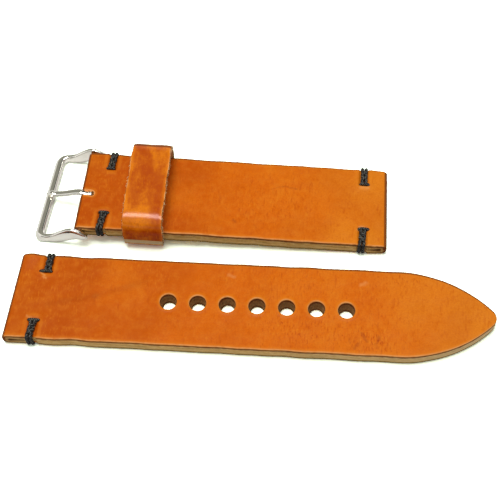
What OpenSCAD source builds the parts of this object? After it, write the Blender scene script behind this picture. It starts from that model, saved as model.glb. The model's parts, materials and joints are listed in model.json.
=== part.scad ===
// Leather watch strap in two parts, with a sewn-in pin buckle and a loose keeper.
// The two parts lie side by side on a table, as sold, and the buckle part is tipped up by its keeper.
// +X runs along the parts towards the tail's tip, +Y goes from the tail part to the buckle part,
// +Z is up, and the origin is the middle of the ground that the strap covers.

/* [Leather] */
// Width of both parts, which is the lug width of the watch
strap_w = 24; // [20:0.5:26]
// Thickness of the leather
strap_t = 4; // [3.4:0.1:5]
// Length of the tail part, from its lug end to its tip
tail_len = 122; // [110:1:150]
// Length of the buckle part, from its lug end to the fold at the buckle
short_len = 81.7; // [70:0.5:95]
// Length of the stretch over which the tail draws in to its tip
taper_len = 24.5; // [20:0.5:30]
// Radius of the tail's tip
tip_r = 2.8; // [1:0.1:5]

/* [Lay] */
// Distance between the centre lines of the two parts
parts_apart = 31.2; // [30:0.2:45]
// Distance along the strap from the tail part's lug end to the buckle part's lug end
lug_shift = 94.7; // [92:0.1:108]
// Turn of the fold at the buckle away from square
fold_skew = 1.5; // [0:0.5:2]
// Turn of the buckle away from square
buckle_skew = 4; // [2:0.5:4]

/* [Holes] */
// Number of holes in the tail
hole_n = 7; // [5:1:8]
// Diameter of the holes
hole_d = 4.3; // [3:0.1:5]
// Distance from one hole to the next
hole_pitch = 7.5; // [6:0.1:8]
// Distance from the lug end to the first hole
hole_start = 39.8; // [30:0.2:45]

/* [Lug ends] */
// Diameter of the tunnel for the watch's spring bar
tunnel_d = 1.6; // [1.4:0.1:2]
// Length of the slit that closes behind a bar
slit_len = 2.8; // [2:0.1:3.2]
// Height of that slit at the bar
slit_h = 0.8; // [0.5:0.1:1]
// Length of the thinned leather that is folded back underneath
flap_len = 16; // [12:0.5:20]
// Width and depth of the groove where the folded leather ends
seam_w = 0.4; // [0.3:0.1:0.8]

/* [Thread] */
// Diameter of the waxed thread
thread_d = 0.9; // [0.6:0.05:1]
// Gap between the two strands of a stitch
strand_gap = 0.06; // [0.02:0.02:0.1]
// How deep the thread is pulled into the leather
thread_sink = 0.35; // [0.2:0.05:0.4]
// Room between the thread and its holes and grooves
thread_fit = 0.05; // [0.03:0.01:0.1]
// Distance from the centre line to the inner end of a stitch
stitch_in = 7.2; // [6:0.1:8]
// Length of the crosswise thread at the inner end
foot_len = 2.6; // [2.2:0.1:3]
// Distance from the tail part's lug end to its far stitch
tail_stitch_far = 7.6; // [6:0.1:9]
// Distance from the tail part's lug end to its near stitch
tail_stitch_near = 6.5; // [6:0.1:9]
// Distance from the buckle part's lug end to its stitches
lug_stitch = 6.4; // [6:0.1:9]
// Distance from the buckle's fold to its stitches
buckle_stitch = 7.1; // [5.8:0.1:8]

/* [Buckle] */
// Diameter of the bar in the fold
bar_d = 1.6; // [1.4:0.1:2]
// How deep the bar's ends are pressed into the arms
bar_seat = 0.8; // [0.5:0.1:1]
// Gap between the leather's edge and an arm
arm_gap = 0.35; // [0.3:0.05:0.8]
// Thickness of an arm
arm_t = 1.35; // [1.2:0.05:1.8]
// Distance from the bar to the middle of the outer bar
reach = 11.1; // [10.4:0.1:13]
// Height of the outer bar's section
outer_h = 2.4; // [2:0.1:3]
// Width of the outer bar's section
outer_w = 1.7; // [1.4:0.1:2.2]
// Drop from the bar to the middle of the outer bar
outer_drop = 3.65; // [3:0.05:4.5]
// Height of the arms' hump above the bar
hump_h = 2.05; // [1.6:0.05:2.4]
// Distance from the bar to the hump
hump_x = 1.7; // [1.4:0.1:4]
// Depth of an arm below the bar
arm_low = 2.2; // [1.8:0.1:2.6]
// Length of an arm behind the bar
arm_back = 2.2; // [1.3:0.1:2.4]
// Radius of the frame's corners along their middle line
corner_r = 2; // [1.6:0.1:3]
// How far the outer bar's outer side spreads towards the table
outer_spread = 1.4; // [0:0.1:1.6]

/* [Tongue] */
// Width of the tongue
tongue_w = 1.8; // [1.6:0.1:2.6]
// How far the tongue sits from the middle of the bar, towards the far side
tongue_side = -0.65; // [-0.8:0.05:0.8]
// Turn of the tongue on the bar, seen from above
tongue_turn = -2.4; // [-2.4:0.2:2.4]
// Thickness of the tongue
tongue_t = 1.25; // [1.1:0.05:1.8]
// Wall of the tongue's ring round the bar
ring_t = 0.85; // [0.7:0.05:1]
// How far the tip reaches past the outer bar
tip_over = 0.1; // [0.1:0.1:1]
// Radial play of the tongue and of the leather on the bar
bar_play = 0.08; // [0.04:0.01:0.1]
// Gap between the tongue and the outer bar that it rests on
tongue_gap = 0.12; // [0.08:0.02:0.3]
// Width of the slot for the tongue
slot_w = 2.2; // [2.2:0.1:3.4]
// Depth of the slot from the fold's outer face
slot_len = 4.4; // [4.2:0.1:5]

/* [Keeper] */
// Width of the keeper along the strap
keeper_w = 10.4; // [8:0.2:12]
// Thickness of the keeper's leather
keeper_t = 1.4; // [1.2:0.1:1.8]
// Thickness of the keeper's lap joint under the strap
lap_t = 2; // [1.9:0.1:2.2]
// Length of the lap joint
lap_len = 14; // [10:1:16]
// Distance from the buckle's fold to the keeper's middle
keeper_from_fold = 18.2; // [15:0.2:32]
// Gap between the keeper and the strap's edges
keeper_side = 0.2; // [0.2:0.05:0.6]
// Room in the keeper beyond two thicknesses of strap
keeper_slack = 0.7; // [0.6:0.1:1.5]
// Gap between the strap and the lap joint that it lies on
keeper_gap = 0.1; // [0.05:0.01:0.2]
// Inside radius of the keeper's upper bends
keeper_bend = 2.7; // [1:0.1:3.4]
// Inside radius of the keeper's lower bends
keeper_tuck = 0.4; // [0.2:0.1:0.5]
// Diameter of the thread that closes the keeper
keeper_thread_d = 0.6; // [0.4:0.05:0.7]
// Distance between that thread's two holes
keeper_stitch_len = 4; // [3:0.5:6]
// Distance between the two stitches
keeper_stitch_apart = 4; // [3:0.5:5]

/* [Hidden] */
$fn = 48;

far = 1;
near = -1;
past = 1;
fold_r = strap_t / 2;
half_w = strap_w / 2;
// From the middle of a stitch to the middle of each strand
strand_off = (thread_d + strand_gap) / 2;

// The keeper's place and outside, and how it and the lug end tip the buckle part up
keeper_at = short_len - keeper_from_fold;
keeper_under = lap_t + keeper_gap;
keeper_inner_h = 2 * strap_t + keeper_slack;
keeper_half = half_w + keeper_side + keeper_t;
keeper_foot = keeper_at - keeper_w / 2 - fold_r;
pitch = atan2(keeper_under + fold_r, keeper_foot)
        - asin(fold_r / norm([keeper_under + fold_r, keeper_foot]));

// The buckle's bar, its height over the table and the turn that rests the outer bar on the table
bar_r = bar_d / 2;
bar_from_lug = short_len - fold_r;
bar_height = fold_r + (bar_from_lug - fold_r) * sin(pitch);
buckle_tilt = asin((bar_height - outer_h / 2) / norm([reach, outer_drop])) - atan2(outer_drop, reach);
arm_y = half_w + arm_gap + arm_t / 2;

// 0 at x0, 1 at x1 and smooth between
function ease(x, x0, x1) = x <= x0 ? 0 : x >= x1 ? 1 : (1 - cos(180 * (x - x0) / (x1 - x0))) / 2;

// Top and bottom of the frame at a distance x from the bar towards the outer bar
outer_from = reach - corner_r;
arm_top_h = 0.6;
function frame_top(x) = arm_top_h + (hump_h - arm_top_h) * ease(x, -arm_back, hump_x)
    - (hump_h + outer_drop - outer_h / 2) * ease(x, hump_x - 0.5, outer_from + 1);
function frame_low(x) = -arm_low - (outer_drop + outer_h / 2 - arm_low) * ease(x, -0.5, outer_from - 1.5);

// A point of a section w wide and h high, rounded between a circle and a box
section_n = 20;
function rounded(a, p) = sign(a) * pow(abs(a), p);
function section_point(k, w, h, p) = let (a = 360 * (k + 0.5) / section_n)
    [w / 2 * rounded(cos(a), p), h / 2 * rounded(sin(a), p)];

// The frame's middle line from the near arm's rear round to the far arm's rear:
// each station is [distance from the bar, y, heading, share of the full height]
arm_steps = 14;
corner_steps = 6;
function arm_station(x, side) = [x, side * arm_y, side < 0 ? 180 : 0, 1];
end_steps = 5;
near_end = [for (k = [0 : end_steps - 1]) let (a = 8 + 82 * k / end_steps)
    [-arm_back * cos(a), -arm_y, 180, sin(a)]];
near_arm = [for (k = [0 : arm_steps]) arm_station(outer_from * k / arm_steps, -1)];
near_corner = [for (k = [1 : corner_steps]) let (a = 90 * k / corner_steps)
    [outer_from + corner_r * sin(a), -arm_y + corner_r * (1 - cos(a)), 180 - a, 1]];
function mirrored(stations) = [for (k = [len(stations) - 1 : -1 : 0])
    let (s = stations[k]) [s[0], -s[1], 180 - s[2], s[3]]];
half_line = concat(near_end, near_arm, near_corner);
frame_line = concat(half_line, mirrored(half_line));

function frame_ring(s) = let (
        top = frame_top(s[0]),
        low = frame_low(s[0]),
        middle = (top + low) / 2,
        h = (top - low) * s[3],
        turn = ease(s[0], outer_from, reach),
        w = (arm_t + (outer_w - arm_t) * turn) * (0.6 + 0.4 * s[3]),
        spread = outer_spread * turn)
    [for (k = [0 : section_n - 1]) let (
        p = section_point(k, w, h, 0.62),
        out = p[0] + spread * (0.5 + p[0] / w) * (0.5 - p[1] / h))
        [-s[0] - out * sin(s[2]), s[1] + out * cos(s[2]), middle + p[1]]];

// How far a point of the level frame lies to the far side, once the buckle is turned on the bar
function p_far(p) = abs(p[1]) * cos(buckle_skew) - p[0] * sin(buckle_skew);
frame_half = max([for (s = half_line) for (p = frame_ring(s)) p_far(p)]);

// Where each part lies
ground_near = half_w + thread_d - thread_sink;
ground_far = parts_apart + max(keeper_half, frame_half);
tail_y = (ground_near - ground_far) / 2;
short_y = tail_y + parts_apart;
tail_x = -tail_len / 2;
short_x = tail_x + lug_shift;

// The tail's flank is an arc that leaves the side and meets the tip's circle
flank_x = tail_len - taper_len;
tip_x = tail_len - tip_r;
flank_r = (pow(taper_len - tip_r, 2) + half_w * half_w - tip_r * tip_r) / (2 * (half_w - tip_r));
meet_x = flank_x + flank_r * (tip_x - flank_x) / (flank_r - tip_r);

// Puts a shape of the tail part, drawn from its lug end, in its place
module lay_long() {
    translate([tail_x, tail_y, 0]) children();
}

// Puts a shape of the buckle part, drawn from its lug end towards -X, in its place
module lay_short() {
    translate([short_x - fold_r, short_y, fold_r]) rotate([0, pitch, 0])
        translate([fold_r, 0, -fold_r]) children();
}

// Moves a shape drawn round the bar's axis into the buckle part's fold
module at_bar(skew = buckle_skew) {
    translate([-bar_from_lug, 0, fold_r]) rotate([0, 0, -skew]) children();
}

// Moves a shape drawn round the middle of the bar to the tongue's place on it
module at_tongue() {
    translate([0, tongue_side, 0]) rotate([0, 0, tongue_turn]) children();
}

// Moves a shape of the buckle, drawn level, onto the bar
module at_buckle() {
    lay_short() at_bar() rotate([0, buckle_tilt - pitch, 0]) children();
}

// A cylinder along Y, centred on the origin
module across(r, h) {
    rotate([90, 0, 0]) cylinder(r = r, h = h, center = true);
}

// The hollow that a fold leaves: round at the bar, and closing to a line behind it
module fold_hollow(r, h) {
    across(r, h);
    rotate([90, 0, 0]) linear_extrude(h, center = true)
        polygon([[0, -slit_h / 2], [slit_len + r, 0], [0, slit_h / 2]]);
}

// One turn of thread in the YZ plane, from y0 to y1 and from z0 to z1 along its middle line
module thread_turn(y0, y1, z0, z1, d) {
    r = d / 2 + 0.05;
    for (z = [z0, z1])
        translate([0, y0 + r, z]) rotate([-90, 0, 0]) cylinder(d = d, h = y1 - y0 - 2 * r, $fn = 24);
    for (y = [y0, y1])
        translate([0, y, z0 + r]) cylinder(d = d, h = z1 - z0 - 2 * r, $fn = 24);
    for (corner = [[y1 - r, z1 - r, 0], [y0 + r, z1 - r, 90], [y0 + r, z0 + r, 180], [y1 - r, z0 + r, 270]])
        translate([0, corner[0], corner[1]]) rotate([corner[2], 0, 0])
            rotate([0, 90, 0]) rotate([0, 0, 90]) rotate_extrude(angle = 90, $fn = 24)
                translate([r, 0]) circle(d = d, $fn = 24);
}

// A stitch at x: two strands over one edge, and a crosswise foot at their inner end
module stitch(x, side) {
    top = strap_t + thread_d / 2 - thread_sink;
    low = thread_d / 2 + thread_fit;
    foot_d = thread_d - 2 * thread_fit;
    color([0.16, 0.14, 0.13]) translate([x, 0, 0]) mirror([0, side < 0 ? 1 : 0, 0]) {
        for (strand = [-strand_off, strand_off])
            translate([strand, 0, 0])
                thread_turn(stitch_in, half_w + thread_d / 2 - thread_sink, low, top, thread_d);
        translate([0, stitch_in, top - thread_fit]) rotate([0, 90, 0])
            cylinder(d = foot_d, h = foot_len - foot_d, center = true, $fn = 24);
        for (end = [-1, 1])
            translate([end * (foot_len - foot_d) / 2, stitch_in, strap_t - thread_d]) {
                cylinder(d = foot_d, h = top - thread_fit - strap_t + thread_d, $fn = 24);
                translate([0, 0, top - thread_fit - strap_t + thread_d]) sphere(d = foot_d, $fn = 24);
            }
    }
}

// What a stitch takes out of the leather: holes, a groove above and below, and a notch in the edge
module stitch_cut(x, side) {
    sink = thread_sink + thread_fit;
    strands_w = 2 * strand_off + thread_d + 2 * thread_fit;
    run = half_w - stitch_in + past;
    translate([x, 0, 0]) mirror([0, side < 0 ? 1 : 0, 0]) {
        for (strand = [-strand_off, strand_off])
            translate([strand, stitch_in, -past])
                cylinder(d = thread_d + 2 * thread_fit, h = strap_t + 2 * past, $fn = 24);
        translate([-strands_w / 2, stitch_in, strap_t - sink]) cube([strands_w, run, sink + past]);
        translate([-strands_w / 2, stitch_in, -past])
            cube([strands_w, run, past + thread_d + 2 * thread_fit]);
        translate([-strands_w / 2, half_w - sink, -past]) cube([strands_w, sink + past, strap_t + 2 * past]);
        translate([-foot_len / 2, stitch_in - thread_d / 2, strap_t - sink])
            cube([foot_len, thread_d, sink + past]);
        for (end = [-1, 1])
            translate([end * (foot_len - thread_d + 2 * thread_fit) / 2, stitch_in, strap_t - thread_d - thread_fit])
                cylinder(d = thread_d, h = thread_d + past, $fn = 24);
    }
}

// The groove across the underside at the end of the folded-back leather
module flap_seam(x) {
    translate([x, 0, 0]) rotate([90, 0, 0]) linear_extrude(strap_w + 2 * past, center = true)
        polygon([[-seam_w / 2, -seam_w / 2], [seam_w / 2, -seam_w / 2], [0, seam_w]]);
}

// Outline of the tail part past its fold, seen from above
module tail_outline() {
    translate([fold_r, -half_w]) square([flank_x - fold_r, strap_w]);
    intersection() {
        translate([flank_x, half_w - flank_r]) circle(r = flank_r, $fn = 200);
        translate([flank_x, flank_r - half_w]) circle(r = flank_r, $fn = 200);
        translate([flank_x - past, -half_w]) square([meet_x - flank_x + past, strap_w]);
    }
    translate([tip_x, 0]) circle(r = tip_r);
}

// The tail part: folded over a tunnel at its lug end, holed, and drawn in to a point
module long_strap() {
    color([0.84, 0.44, 0.12]) lay_long() difference() {
        union() {
            linear_extrude(strap_t) tail_outline();
            translate([fold_r, 0, fold_r]) across(fold_r, strap_w);
        }
        translate([fold_r, 0, fold_r]) fold_hollow(tunnel_d / 2, strap_w + 2 * past);
        for (k = [0 : hole_n - 1])
            translate([hole_start + k * hole_pitch, 0, -past]) cylinder(d = hole_d, h = strap_t + 2 * past);
        stitch_cut(tail_stitch_far, far);
        stitch_cut(tail_stitch_near, near);
        flap_seam(flap_len);
    }
}

// The buckle part: folded over the watch's bar at one end and over the buckle's bar at the other
module short_strap() {
    color([0.84, 0.42, 0.1]) lay_short() difference() {
        union() {
            linear_extrude(strap_t) intersection() {
                translate([-short_len, -half_w]) square([short_len - fold_r, strap_w]);
                translate([-bar_from_lug, 0]) rotate(-fold_skew)
                    translate([0, -strap_w]) square([short_len, 2 * strap_w]);
            }
            translate([-fold_r, 0, fold_r]) across(fold_r, strap_w);
            intersection() {
                at_bar(fold_skew) across(fold_r, 2 * strap_w);
                translate([-short_len - fold_r, -half_w, 0]) cube([2 * strap_t, strap_w, strap_t]);
            }
        }
        mirror([1, 0, 0]) translate([fold_r, 0, fold_r]) fold_hollow(tunnel_d / 2, strap_w + 2 * past);
        at_bar() fold_hollow(bar_r + bar_play, 2 * strap_w);
        at_bar() at_tongue() translate([-strap_t, -slot_w / 2, -fold_r - past])
            cube([strap_t + slot_len - fold_r - slot_w / 2, slot_w, strap_t + 2 * past]);
        at_bar() at_tongue() translate([slot_len - fold_r - slot_w / 2, 0, -fold_r - past])
            cylinder(d = slot_w, h = strap_t + 2 * past);
        for (side = [far, near]) {
            stitch_cut(-lug_stitch, side);
            stitch_cut(-short_len + buckle_stitch, side);
        }
        flap_seam(-flap_len);
        flap_seam(-short_len + flap_len);
    }
}

// A closed section with its lower edge on the X axis, and a radius for each pair of bends
module loop_section(w, h, r_low, r_high) {
    translate([-w / 2, r_low]) square([w, h - r_low - r_high]);
    translate([-w / 2 + r_low, 0]) square([w - 2 * r_low, h / 2]);
    translate([-w / 2 + r_high, h / 2]) square([w - 2 * r_high, h / 2]);
    for (side = [-1, 1]) {
        translate([side * (w / 2 - r_low), r_low]) circle(r = r_low);
        translate([side * (w / 2 - r_high), h - r_high]) circle(r = r_high);
    }
}

// Puts a shape of the keeper, drawn round the strap's underside, in its place
module at_keeper() {
    lay_short() translate([-keeper_at, 0, 0]) children();
}

// The keeper: a leather loop round the strap, closed by a lap joint underneath
module keeper() {
    outer_w = 2 * keeper_half;
    outer_h = keeper_inner_h + lap_t + keeper_t;
    thread_w = keeper_thread_d + 2 * thread_fit;
    color([0.8, 0.4, 0.1]) at_keeper() difference() {
        rotate([90, 0, 90]) linear_extrude(keeper_w, center = true) difference() {
            translate([0, -keeper_under])
                loop_section(outer_w, outer_h, keeper_tuck + keeper_t, keeper_bend + keeper_t);
            translate([0, -keeper_gap])
                loop_section(strap_w + 2 * keeper_side, keeper_inner_h, keeper_tuck, keeper_bend);
        }
        for (side = [-1, 1])
            translate([-keeper_w, side > 0 ? lap_len / 2 : -lap_len / 2 - strap_w, -keeper_under - past])
                cube([2 * keeper_w, strap_w, past + lap_t - keeper_t]);
        for (side = [-1, 1])
            translate([side * keeper_stitch_apart / 2, 0, 0]) {
                for (end = [-1, 1])
                    translate([0, end * keeper_stitch_len / 2, -keeper_under - past])
                        cylinder(d = thread_w, h = lap_t + 2 * past, $fn = 24);
                translate([-thread_w / 2, -keeper_stitch_len / 2, -keeper_under - past])
                    cube([thread_w, keeper_stitch_len, past + keeper_thread_d + 2 * thread_fit]);
                translate([-thread_w / 2, -keeper_stitch_len / 2, -keeper_gap - keeper_thread_d - 2 * thread_fit])
                    cube([thread_w, keeper_stitch_len, keeper_thread_d + past]);
            }
    }
}

// One of the two stitches that close the keeper's lap joint
module keeper_stitch(side) {
    d = keeper_thread_d;
    color([0.16, 0.14, 0.13]) at_keeper() translate([side * keeper_stitch_apart / 2, 0, 0])
        thread_turn(-keeper_stitch_len / 2, keeper_stitch_len / 2, -keeper_under + d / 2 + thread_fit,
                    -keeper_gap - d / 2 - thread_fit, d);
}

// A tube of rings, closed at both ends
module skin(rings) {
    n = len(rings[0]);
    m = len(rings);
    polyhedron(points = [for (ring = rings) each ring],
        faces = concat([[for (k = [0 : n - 1]) k]], [[for (k = [n - 1 : -1 : 0]) (m - 1) * n + k]],
            [for (j = [0 : m - 2]) for (k = [0 : n - 1]) let (a = j * n + k, b = j * n + (k + 1) % n)
                each [[a, a + n, b], [b, a + n, b + n]]]));
}

// The buckle's frame: two humped arms and an outer bar, drawn with the bar's axis along Y
module buckle_frame() {
    color([0.8, 0.8, 0.82]) at_buckle() difference() {
        skin([for (s = frame_line) frame_ring(s)]);
        across(bar_r, 2 * (half_w + arm_gap + bar_seat));
    }
}

// The bar that the fold and the tongue go round
module buckle_bar() {
    color([0.7, 0.7, 0.72]) at_buckle() across(bar_r, 2 * (half_w + arm_gap + bar_seat));
}

// The tongue's middle line: off the top of its ring, over a dip and down past the outer bar
tongue_end = reach + outer_w / 2 + tip_over;
tongue_rest = -outer_drop + outer_h / 2 + tongue_gap + tongue_t / 2;
tongue_start_z = bar_r + bar_play + ring_t - tongue_t / 2;
tongue_steps = 20;
function tongue_z(x) = tongue_start_z + (tongue_rest - tongue_start_z) * ease(x, -1, reach + 1)
    + 0.25 * sin(360 * x / reach) * ease(x, 0, 2) * (1 - ease(x, reach - 2, reach))
    - 0.7 * ease(x, reach - outer_w / 2, tongue_end + 1);

function tongue_ring(k) = let (
        x = tongue_end * k / tongue_steps,
        tip = 1 - 0.55 * ease(x, tongue_end - 1.6, tongue_end))
    [for (j = [0 : section_n - 1]) let (q = section_point(j, tongue_w * tip, tongue_t * tip, 0.8))
        [-x, -q[0], tongue_z(x) + q[1]]];

// The tongue: a ring that turns on the bar, and a blade that rests on the outer bar
module buckle_tongue() {
    color([0.82, 0.82, 0.84]) at_buckle() at_tongue() difference() {
        union() {
            across(bar_r + bar_play + ring_t, tongue_w);
            skin([for (k = [0 : tongue_steps]) tongue_ring(k)]);
        }
        across(bar_r + bar_play, strap_w);
    }
}

module keeper_stitch_left() { keeper_stitch(-1); }
module keeper_stitch_right() { keeper_stitch(1); }
module stitch_buckle_far() { lay_short() stitch(-short_len + buckle_stitch, far); }
module stitch_buckle_near() { lay_short() stitch(-short_len + buckle_stitch, near); }
module stitch_short_lug_far() { lay_short() stitch(-lug_stitch, far); }
module stitch_short_lug_near() { lay_short() stitch(-lug_stitch, near); }
module stitch_long_lug_far() { lay_long() stitch(tail_stitch_far, far); }
module stitch_long_lug_near() { lay_long() stitch(tail_stitch_near, near); }

short_strap();
long_strap();
keeper();
keeper_stitch_left();
keeper_stitch_right();
buckle_frame();
buckle_bar();
buckle_tongue();
stitch_buckle_far();
stitch_buckle_near();
stitch_short_lug_far();
stitch_short_lug_near();
stitch_long_lug_far();
stitch_long_lug_near();
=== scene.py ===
"""Looks of a leather watch strap: two sewn leather parts, a keeper, waxed thread and a pin buckle."""

import json
import math

import bmesh
import bpy
import numpy as np
from bpy.props import FloatProperty, FloatVectorProperty, IntProperty, PointerProperty
from mathutils import Matrix, Vector


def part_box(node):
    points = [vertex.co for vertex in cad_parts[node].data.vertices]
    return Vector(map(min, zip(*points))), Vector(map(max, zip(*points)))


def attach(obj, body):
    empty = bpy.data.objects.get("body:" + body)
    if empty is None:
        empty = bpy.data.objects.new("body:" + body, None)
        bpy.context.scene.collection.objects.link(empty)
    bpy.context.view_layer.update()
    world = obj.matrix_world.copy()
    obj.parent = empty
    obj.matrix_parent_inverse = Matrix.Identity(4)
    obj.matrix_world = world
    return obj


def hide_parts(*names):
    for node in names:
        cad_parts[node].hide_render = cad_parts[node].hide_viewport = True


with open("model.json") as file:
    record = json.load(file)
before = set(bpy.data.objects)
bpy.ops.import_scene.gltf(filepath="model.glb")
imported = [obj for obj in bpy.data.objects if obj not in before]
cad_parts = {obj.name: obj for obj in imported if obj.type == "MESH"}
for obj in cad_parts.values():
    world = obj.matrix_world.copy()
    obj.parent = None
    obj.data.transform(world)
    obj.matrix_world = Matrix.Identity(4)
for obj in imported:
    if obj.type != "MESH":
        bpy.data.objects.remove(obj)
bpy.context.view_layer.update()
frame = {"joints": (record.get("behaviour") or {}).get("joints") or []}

bl_info = {
    "name": "Leather Watch Strap",
    "version": (1, 0, 0),
    "blender": (4, 5, 0),
    "location": "View3D > Sidebar > Watch Strap",
    "description": "Builds a two-part leather watch strap with a pin buckle round its packed frame",
    "category": "Add Mesh",
}

MM = 0.001
# Axes to turn about
X, Y, Z = range(3)
# Points that lie closer than this, in metres, are one point
WELD = 1e-7
# The power of sine and cosine that presses a fold's half circle towards a box
FOLD_POWER = 0.66
# Rows of a fold, rows across the block round a hole, plies of the thread and points round it
FOLD_STEPS, BLOCK_STEPS, PLIES, THREAD_POINTS = 14, 16, 3, 18
# Spacing of the points in a fold, near a stitch and elsewhere, and how far near reaches
FOLD_SPACING, SEWN_SPACING, OPEN_SPACING, SEWN_REACH = 0.16 * MM, 0.17 * MM, 0.45 * MM, 2.2 * MM
# A thread's gap to the leather beside it, and the steps of an edge stitch's and a keeper stitch's path
THREAD_GAP, THREAD_STEP, KEEPER_THREAD_STEP = 0.05 * MM, 0.09 * MM, 0.07 * MM
# How far the keeper's two stitches lie from its middle, and roots of fibres below the cut side
KEEPER_STITCH_OUT, ROOT_DEPTH = 2 * MM, 0.12 * MM
# How wavy and how frayed the cut edges are, and how uneven the top is
EDGE_WAVE, EDGE_FRAY, TOP_SWELL = 0.07 * MM, 0.035 * MM, 0.035 * MM
SIDES = {"far": 1.0, "near": -1.0}
ALONG_X, ALONG_Y = np.array([1.0, 0.0, 0.0]), np.array([0.0, 1.0, 0.0])
# How light the dye is along each part: place along X in millimetres, and 0 for deep to 1 for light
TAIL_TONES = [(-61, 0.10), (-44, 0.14), (-12, 0.45), (20, 0.52), (41, 0.72), (53, 0.92), (61, 0.96)]
BUCKLE_PART_TONES = [(-46, 0.10), (-34, 0.14), (-15, 0.28), (-5, 0.45), (22, 0.76), (34, 0.98)]
# Strokes on the faces: x0, y0, x1, y1 and width in millimetres, and strength, below 0 for a scuff
MARKS = [(-51.6, -19.0, -40.0, -16.0, 1.6, 0.16), (-40.0, -16.0, -27.8, -11.3, 1.8, 0.14),
         (27.8, -22.8, 29.0, -25.0, 0.70, 0.34), (31.8, -23.4, 31.6, -25.2, 0.60, 0.32),
         (26.9, -25.7, 26.0, -27.0, 0.75, 0.30), (31.0, -25.6, 31.7, -26.5, 0.50, 0.16),
         (24.6, -24.4, 24.9, -25.6, 0.50, 0.18), (2.9, 18.3, 5.8, 19.5, 0.45, 0.18),
         (5.8, 19.5, 9.6, 18.8, 0.50, 0.24), (-6.5, 7.6, -6.2, 7.3, 0.90, 0.35),
         (27.2, -9.1, 28.5, -8.5, 0.90, -0.35), (-6.5, -8.0, -5.1, -8.6, 0.90, -0.30),
         (-54.8, -10.1, -53.9, -10.7, 0.55, -0.60), (-54.3, -11.1, -53.5, -11.5, 0.50, -0.40),
         (26.7, 20.6, 28.5, 20.6, 0.90, -0.55), (26.1, 7.3, 27.2, 8.0, 0.80, -0.50),
         (-56.4, -22.7, -55.3, -23.2, 0.55, -0.35),
         (-40.1, 23.5, -41.2, 23.1, 0.55, -0.35)]
# Stretches of the face with stronger creases: x0, y0, x1, y1, width in millimetres and strength
CREASED = [(8.0, -22.5, 33.0, -24.5, 5.5, 1.2), (-4.0, 12.0, 12.0, 14.0, 7.0, 0.3),
           (36.0, -8.0, 44.0, -10.0, 8.0, 0.5)]
# Each edge stitch's lean, and the shift and length of its foot along X, in millimetres
EDGE_STITCHES = {"stitch_buckle_far": (0.40, -0.10, 2.3), "stitch_buckle_near": (-0.60, 0.05, 2.8),
                 "stitch_short_lug_far": (0.10, 0.25, 2.6), "stitch_short_lug_near": (-0.20, 0.25, 2.9),
                 "stitch_long_lug_far": (0.20, -0.45, 3.3), "stitch_long_lug_near": (-0.50, 0.0, 3.2)}
# Parts of a sphere that only reflections show: turn, lift, width and height in degrees, brightness
DIM_CARDS = {"back_card": (4.0, 58.0, 46.0, 26.0, 0.035), "left_card": (54.0, 34.0, 56.0, 58.0, 0.30),
             "right_card": (-90.0, 30.0, 60.0, 24.0, 0.15),
             "front_card": (180.0, 16.0, 120.0, 22.0, 0.12)}
OVERHEAD_PANEL = (180.0, 84.0, 56.0, 25.0)
DIM_TINT, WHITE = (1.0, 0.99, 0.86, 1.0), (1.0, 1.0, 1.0, 1.0)
CARD_DISTANCE, TABLE_REACH, TABLE_DROP = 0.8, 0.75, 0.02 * MM


def size(name, description, default):
    """A length that the user may change."""
    return FloatProperty(name=name, description=description, default=default, min=0.0,
                         subtype="DISTANCE", unit="LENGTH", precision=5)


def shade(name, description, default):
    """A colour that the user may change, in linear light."""
    return FloatVectorProperty(name=name, description=description, default=default, size=3,
                               min=0.0, max=1.0, subtype="COLOR")


def angle(name, description, degrees):
    """An angle that the user may change."""
    return FloatProperty(name=name, description=description, default=math.radians(degrees),
                         subtype="ANGLE")


def amount(name, description, default):
    """A plain number that the user may change."""
    return FloatProperty(name=name, description=description, default=default, min=0.0)


class StrapSizes(bpy.types.PropertyGroup):
    """Sizes of the two leather parts"""
    thickness: size("Thickness", "Thickness of the leather", 0.004)
    edge_round: size("Edge rounding", "Radius of the burnished edges", 0.0004)
    taper: size("Taper", "Length over which the tail draws in to its tip", 0.0245)
    tip_radius: size("Tip radius", "Radius of the tail's tip", 0.0028)
    hole: size("Hole", "Diameter of the holes", 0.0043)
    hole_pitch: size("Hole pitch", "Distance from one hole to the next", 0.0075)
    hole_start: size("First hole", "Distance from the lug end to the first hole", 0.0398)
    hole_count: IntProperty(name="Holes", description="Number of holes", default=7, min=1, max=8)
    hole_rim: size("Hole rim", "Radius of the rounded rim of a hole", 0.00032)
    hole_taper: size("Hole taper", "How much a hole's radius shrinks from its rim to its foot", 0.0005)
    tunnel: size("Tunnel", "Height of the flattened tunnel for the spring bar", 0.0011)
    slit: size("Slit", "Length of the slit behind the tunnel", 0.0044)
    slit_height: size("Slit height", "Height of the slit at the tunnel", 0.0011)
    lug_slant: size("Lug slant", "How much further the tail's near lug corner reaches", 0.0011)
    flap: size("Flap", "Length of the leather folded back underneath", 0.016)
    slot_width: size("Slot width", "Width of the tongue's slot", 0.0016)
    slot_depth: size("Slot depth", "Depth of the tongue's slot from the fold", 0.0037)
    slot_near: size("Slot place", "How far the slot lies to the near side of the tongue", 0.0005)


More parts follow.
